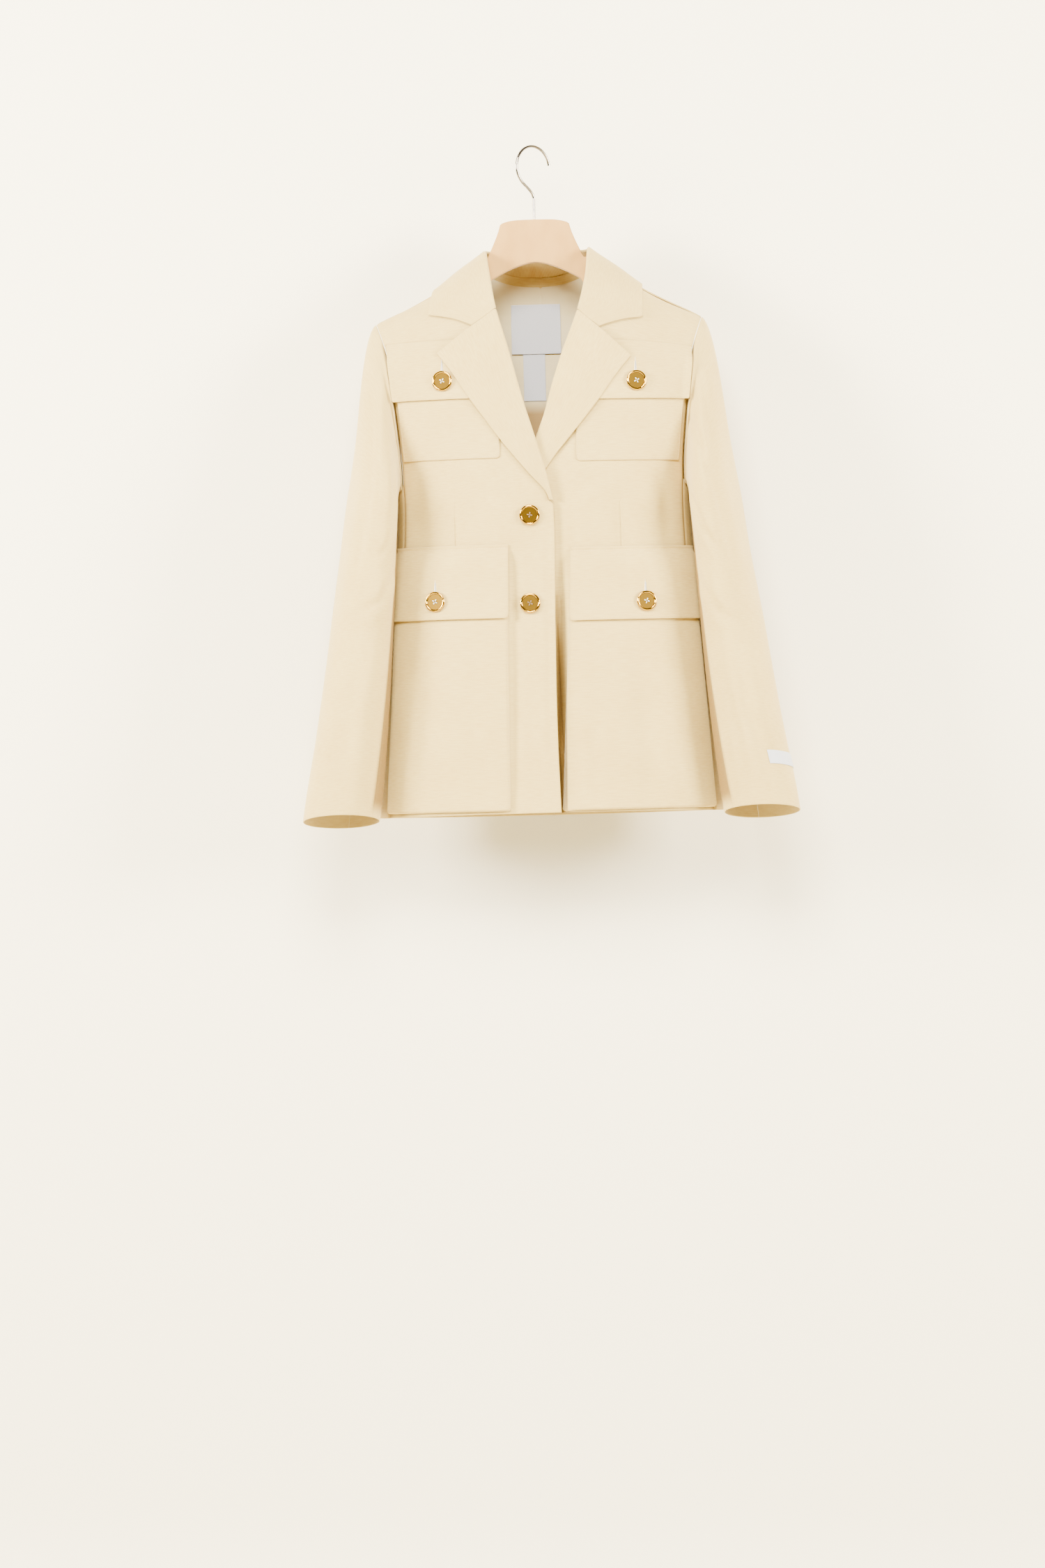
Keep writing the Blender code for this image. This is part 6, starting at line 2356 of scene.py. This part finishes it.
@dataclass
class Hanger:
    """A flocked board with a plated wire hook; its front carries no lettering.

    Attributes:
        form: the jacket, which the board stays inside.
        thick, rounding: thickness of the board and radius of its rims.
        top, corner_x, corner_z, neck_x, neck_z: its upper edge from the middle to the neck.
        end_x: where its arms end.
        under_cloth, under_collar: gap to the shoulder line on the arms and at the neck.
        past_neck: how far past the neck the gap changes from one to the other.
        arch_z, arch_x, arch_end: the arch in its lower edge.
        tip: height of an arm at its end.
        wire, hook_radius: thickness of the wire and radius of its loop.
        swivel: how far the hook is turned from the board.
        tip_angle, turn_angle: degrees round the loop, from its tip to where it turns back.
        stem_top: where the straight stem starts.
    """

    form: JacketForm
    thick: float = 8.0 * MM
    rounding: float = 2.6 * MM
    top: float = -0.0890
    corner_x: float = 0.0425
    corner_z: float = -0.0940
    neck_x: float = 0.0600
    neck_z: float = -0.1365
    end_x: float = 0.1880
    under_cloth: float = 3.8 * MM
    under_collar: float = 7.5 * MM
    past_neck: float = 12 * MM
    arch_z: float = -0.1420
    arch_x: float = 0.0560
    arch_end: float = -0.1635
    tip: float = 14 * MM
    wire: float = 3.5 * MM
    hook_radius: float = 26.2 * MM
    swivel: float = math.radians(40)
    tip_angle: float = 8.0
    turn_angle: float = 232.0
    stem_top: float = -0.0640

    def upper(self, x: float) -> float:
        """Height of the board's upper edge."""
        across = abs(x)
        if across <= self.corner_x:
            return lerp(self.top, self.corner_z, (across / self.corner_x) ** 4)
        if across <= self.neck_x:
            share = (across - self.corner_x) / (self.neck_x - self.corner_x)
            return lerp(self.corner_z, self.neck_z, share**0.8)
        share = clamp((across - self.form.neck_x) / self.past_neck)
        under = self.form.shoulder_z(across) - lerp(self.under_collar, self.under_cloth, share)
        return min(self.neck_z, float(under))

    def lower(self, x: float) -> float:
        """Height of the board's lower edge."""
        across = abs(x)
        if across <= self.arch_x:
            return lerp(self.arch_z, self.arch_end, (across / self.arch_x) ** 1.6)
        share = (across - self.arch_x) / (self.end_x - self.arch_x)
        root = self.upper(self.arch_x) - self.arch_end
        return self.upper(across) - lerp(root, self.tip, float(smoothstep(share * 1.3)))

    def board(self, steps: int = 150) -> None:
        """Make the board: one outline, thickened, with rounded rims."""
        half = self.thick / 2
        bm = bmesh.new()
        xs = [lerp(-self.end_x, self.end_x, i / steps) for i in range(steps + 1)]
        outline = [bm.verts.new((x, -half, self.upper(x))) for x in xs]
        outline += [bm.verts.new((x, -half, self.lower(x))) for x in reversed(xs)]
        bm.faces.new(outline)
        sweep = bmesh.ops.extrude_face_region(bm, geom=bm.faces[:])
        moved = [g for g in sweep["geom"] if isinstance(g, bmesh.types.BMVert)]
        bmesh.ops.translate(bm, vec=(0, self.thick, 0), verts=moved)
        rims = [e for e in bm.edges if abs(e.verts[0].co.y - e.verts[1].co.y) < half]
        bmesh.ops.bevel(
            bm, geom=rims, offset=self.rounding, segments=6, profile=0.5, affect="EDGES",
            material=-1, clamp_overlap=True,
        )
        bmesh.ops.triangulate(bm, faces=[f for f in bm.faces if len(f.verts) > 4])
        swing = Matrix.Rotation(-self.form.swing, 3, "Y")
        bmesh.ops.rotate(bm, cent=(0, 0, 0), matrix=swing, verts=bm.verts)
        bmesh.ops.recalc_face_normals(bm, faces=bm.faces)
        keep(mesh_of(bm, "hanger_bar", 40.0), "hanger_bar", Finish.FLOCK, ["hanger_bar"])

    def hook(self) -> None:
        """Bend the wire: tip, loop over the rail, a swan neck back to the middle, a stem."""
        centre_z = -(self.hook_radius - self.wire / 2)
        points = []
        for angle in np.radians(np.linspace(self.tip_angle, self.turn_angle, 61)):
            heading = Vector((-math.sin(angle), math.cos(angle)))
            out = Vector((math.cos(angle), math.sin(angle)))
            points.append(out * self.hook_radius + Vector((0.0, centre_z)))
        end, stem = points[-1], Vector((0.0, self.stem_top))
        span = (stem - end).length
        for i in range(1, 31):
            down = Vector((0.0, -1.0)) * span
            points.append(hermite(i / 30, end, heading * span, stem, down))
        points.append(Vector((0.0, self.top + 0.3 * MM)))
        swing = Matrix.Rotation(-self.form.swing, 3, "Y")
        data = bpy.data.curves.new("hanger_hook", "CURVE")
        data.dimensions = "3D"
        data.bevel_depth = self.wire / 2
        data.bevel_resolution = 8
        data.use_fill_caps = True
        spline = data.splines.new("POLY")
        spline.points.add(len(points) - 1)
        for knot, point in zip(spline.points, points):
            x, y = point.x * math.cos(self.swivel), point.x * math.sin(self.swivel)
            place = Vector((x, y, point.y))
            knot.co = (*(swing @ place), 1.0)
        made = placed("hanger_hook", data)
        data.materials.append(Finish.CHROME.material())
        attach(made, BODY)
        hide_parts("hanger_hook")
        log.info("hanger_hook: wire of %d points", len(points))

    def build(self) -> None:
        """Make the board and its hook."""
        self.board()
        self.hook()


# ---------------------------------------------------------------- stage


class Light(NamedTuple):
    """One soft area light, aimed at the middle of the jacket."""

    name: str
    place: tuple[float, float, float]
    size: float
    power: float


@dataclass
class Stage:
    """Pale floor and backdrop, soft lights and the photo's camera."""

    camera_x: float = -12.3 * MM
    camera_z: float = -0.787
    distance: float = 6.0
    view_height: float = 1.9395
    sensor: float = 36.0
    wall_y: float = 0.106
    wall_top: float = 4.0
    floor_z: float = -1.95
    floor_front: float = -8.0
    curve: float = 0.25  # radius between floor and wall
    wide: float = 16.0
    floor_share: float = 0.3  # of the backdrop's rows, as many as in the wall
    aim: tuple[float, float, float] = (0.0, 0.0, -0.5)
    tint: tuple[float, float, float] = (1.0, 0.985, 0.955)
    room_strength: float = 0.16
    lights: tuple[Light, ...] = (
        Light("key", (-0.2, -2.4, 1.15), 1.1, 320.0),
        Light("left", (-2.60, -1.60, 0.15), 1.0, 530.0),
        Light("right", (2.60, -1.70, 0.10), 1.0, 440.0),
    )

    def profile(self, share: float) -> tuple[float, float]:
        """Place (y, z) on the backdrop: along the floor, round the curve and up the wall."""
        if share < self.floor_share:
            y = lerp(self.floor_front, self.wall_y - self.curve, share / self.floor_share)
            return y, self.floor_z
        if share < 1 - self.floor_share:
            turned = (share - self.floor_share) / (1 - 2 * self.floor_share)
            angle = math.pi / 2 * turned
            y = self.wall_y - self.curve + self.curve * math.sin(angle)
            return y, self.floor_z + self.curve * (1 - math.cos(angle))
        up = (share - 1 + self.floor_share) / self.floor_share
        return self.wall_y, lerp(self.floor_z + self.curve, self.wall_top, up)

    def backdrop(self) -> None:
        """Make a floor that curves up into a wall."""
        bm = bmesh.new()
        bmesh.ops.create_grid(bm, x_segments=2, y_segments=60, size=0.5)
        for vert in bm.verts:
            vert.co = (vert.co.x * self.wide, *self.profile(vert.co.y + 0.5))
        mesh = mesh_of(bm, "backdrop")
        g = Graph("matt_emulsion")
        g.set(Base_Color=srgb("E3D9BC"), Roughness=0.95, Specular_IOR_Level=0.1)
        mesh.materials.append(g.material)
        placed("backdrop", mesh)

    def light(self, light: Light) -> None:
        """Add one soft area light."""
        data = bpy.data.lights.new(light.name, "AREA")
        data.shape = "SQUARE"
        data.size = light.size
        data.energy = light.power
        data.color = self.tint
        made = placed(light.name, data)
        made.location = light.place
        made.rotation_mode = "QUATERNION"
        aim = Vector(self.aim) - Vector(light.place)
        made.rotation_quaternion = aim.to_track_quat("-Z", "Y")

    def surroundings(self, tree: bpy.types.NodeTree) -> None:
        """Light the room evenly, with the darker bands that metal needs to read as metal."""
        place = tree.nodes.new("ShaderNodeTexCoord")
        split = tree.nodes.new("ShaderNodeSeparateXYZ")
        band = tree.nodes.new("ShaderNodeValToRGB")
        lifted = tree.nodes.new("ShaderNodeMapRange")
        lifted.inputs["From Min"].default_value = -1.0
        background = tree.nodes["Background"].inputs
        background["Strength"].default_value = self.room_strength
        tree.links.new(place.outputs["Generated"], split.inputs[0])
        tree.links.new(split.outputs[2], lifted.inputs["Value"])
        tree.links.new(lifted.outputs["Result"], band.inputs[0])
        tree.links.new(band.outputs[0], background["Color"])
        warm, dark = (1.0, 0.975, 0.93, 1.0), (0.20, 0.17, 0.13, 1.0)
        stops = ((0.0, warm), (0.30, dark), (0.62, dark), (0.72, warm), (1.0, warm))
        while len(band.color_ramp.elements) < len(stops):
            band.color_ramp.elements.new(0.5)
        for element, (at, colour) in zip(band.color_ramp.elements, stops):
            element.position = at
            element.color = colour

    def camera(self) -> None:
        """Set the photo's camera."""
        data = bpy.data.cameras.new("photo_view")
        data.sensor_fit = "VERTICAL"
        data.sensor_height = self.sensor
        data.lens = self.sensor * self.distance / self.view_height
        data.clip_end = 10 * self.distance
        data.dof.use_dof = False
        made = placed("photo_view", data)
        made.location = (self.camera_x, -self.distance, self.camera_z)
        made.rotation_euler = (math.pi / 2, 0.0, 0.0)
        bpy.context.scene.camera = made

    def build(self) -> None:
        """Set the whole stage."""
        self.backdrop()
        for light in self.lights:
            self.light(light)
        world = bpy.data.worlds.new("studio")
        world.use_nodes = True
        self.surroundings(world.node_tree)
        bpy.context.scene.world = world
        self.camera()


# ---------------------------------------------------------------- the folds this jacket hangs in

FRONT_FOLDS = Relief(
    creases(
        # below the chest pockets, where the cloth falls in to the waist
        (1.6, 9, 0.4, (-0.150, -0.395), (-0.158, -0.440), (-0.156, -0.490)),
        (1.6, 9, 0.4, (0.138, -0.395), (0.150, -0.445), (0.152, -0.495)),
        # darts
        (0.9, 0.8, 0.4, (-0.110, -0.432), (-0.110, -0.480), (-0.110, -0.540)),
        (0.9, 0.8, 0.4, (0.093, -0.436), (0.093, -0.480), (0.093, -0.540)),
        (1.3, 8, 0.3, (-0.110, -0.420), (-0.112, -0.480), (-0.112, -0.540)),
        (1.3, 8, 0.3, (0.093, -0.424), (0.095, -0.480), (0.095, -0.540)),
        # the soft roll of the front edge, and where the cloth dips beside the bellows
        (1.4, 3.6, 0.5, (0.0030, -0.455), (0.0020, -0.600), (0.0005, -0.815)),
        (2.2, 6, 0.4, (-0.0400, -0.500), (-0.0405, -0.640), (-0.0450, -0.818)),
        # long soft hang of the lower fronts
        (2.0, 14, 0.5, (-0.085, -0.600), (-0.092, -0.700), (-0.088, -0.815)),
        (2.6, 15, 0.5, (0.105, -0.600), (0.118, -0.700), (0.125, -0.815)),
        (2.4, 11, 0.5, (-0.150, -0.640), (-0.156, -0.720), (-0.165, -0.815)),
        (1.8, 9, 0.5, (0.060, -0.690), (0.052, -0.750), (0.055, -0.818)),
        # drag from the upper button
        (0.9, 8, 0.4, (0.030, -0.430), (0.060, -0.420), (0.100, -0.400)),
        (0.9, 8, 0.4, (-0.045, -0.445), (-0.075, -0.430), (-0.110, -0.405)),
    ),
    wave=0.7 * MM,
    seed=1.3,
)
# the left front falls away beside the front edge, more towards the hem
UNDER_FOLDS = Relief(
    creases(
        (8.0, 6.5, 0.0, (0.0170, -0.520), (0.0165, -0.600), (0.0160, -0.700), (0.0150, -0.840)),
        (15.0, 5.0, 0.0, (0.0152, -0.560), (0.0145, -0.680), (0.0120, -0.940)),
    )
)
BACK_FOLDS = Relief(
    creases(
        (1.6, 16, 0.5, (0.060, -0.230), (0.085, -0.340), (0.080, -0.460)),
        (1.6, 16, 0.5, (-0.060, -0.240), (-0.090, -0.350), (-0.085, -0.470)),
        (2.2, 20, 0.5, (0.095, -0.520), (0.110, -0.660), (0.120, -0.815)),
        (2.2, 20, 0.5, (-0.090, -0.520), (-0.105, -0.660), (-0.110, -0.815)),
    ),
    wave=0.8 * MM,
    seed=4.1,
)
# a sleeve's folds are placed by (turn times the scale, height)
SLEEVE_FOLDS = {
    RIGHT: Relief(
        creases(
            (2.6, 7, 0.5, (0.105, -0.330), (0.092, -0.400), (0.096, -0.470)),
            (2.4, 9, 0.6, (0.030, -0.300), (0.040, -0.420), (0.036, -0.560)),
            (2.0, 7, 0.6, (0.112, -0.520), (0.085, -0.560), (0.050, -0.575)),
            (2.0, 10, 0.5, (0.075, -0.600), (0.060, -0.690), (0.070, -0.800)),
            (1.4, 5, 0.6, (0.100, -0.470), (0.078, -0.500), (0.062, -0.505)),
        ),
        wave=0.7 * MM,
        seed=2.2,
    ),
    LEFT: Relief(
        creases(
            (3.4, 7, 0.6, (0.112, -0.300), (0.090, -0.350), (0.062, -0.395), (0.046, -0.450)),
            (2.6, 8, 0.6, (0.034, -0.290), (0.044, -0.410), (0.040, -0.540)),
            (2.6, 6, 0.6, (0.104, -0.430), (0.082, -0.480), (0.050, -0.520)),
            (2.2, 7, 0.6, (0.110, -0.540), (0.080, -0.585), (0.046, -0.600)),
            (2.4, 9, 0.5, (0.056, -0.610), (0.066, -0.700), (0.056, -0.810)),
            (1.6, 7, 0.5, (0.092, -0.660), (0.086, -0.740), (0.092, -0.815)),
        ),
        wave=0.7 * MM,
        seed=5.6,
    ),
}


def main() -> None:
    """Build the whole visual model and its stage."""
    logging.basicConfig(level=logging.INFO, format="%(name)s %(message)s")
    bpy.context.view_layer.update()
    form = JacketForm(front_relief=FRONT_FOLDS, back_relief=BACK_FOLDS, under_relief=UNDER_FOLDS)
    Hanger(form).build()
    Panels(form).build()
    sleeves = Sleeves(form, SLEEVE_FOLDS)
    sleeves.build()
    Lapels(form).build()
    Collar(form).build()
    pockets = Pockets(form)
    pockets.build()
    NeckInside(form).build()
    SleeveLabel(form, sleeves).build()
    Topstitching(form, pockets).build()
    Buttons(form, pockets).build()
    Stage().build()


if __name__ == "__main__":
    main()
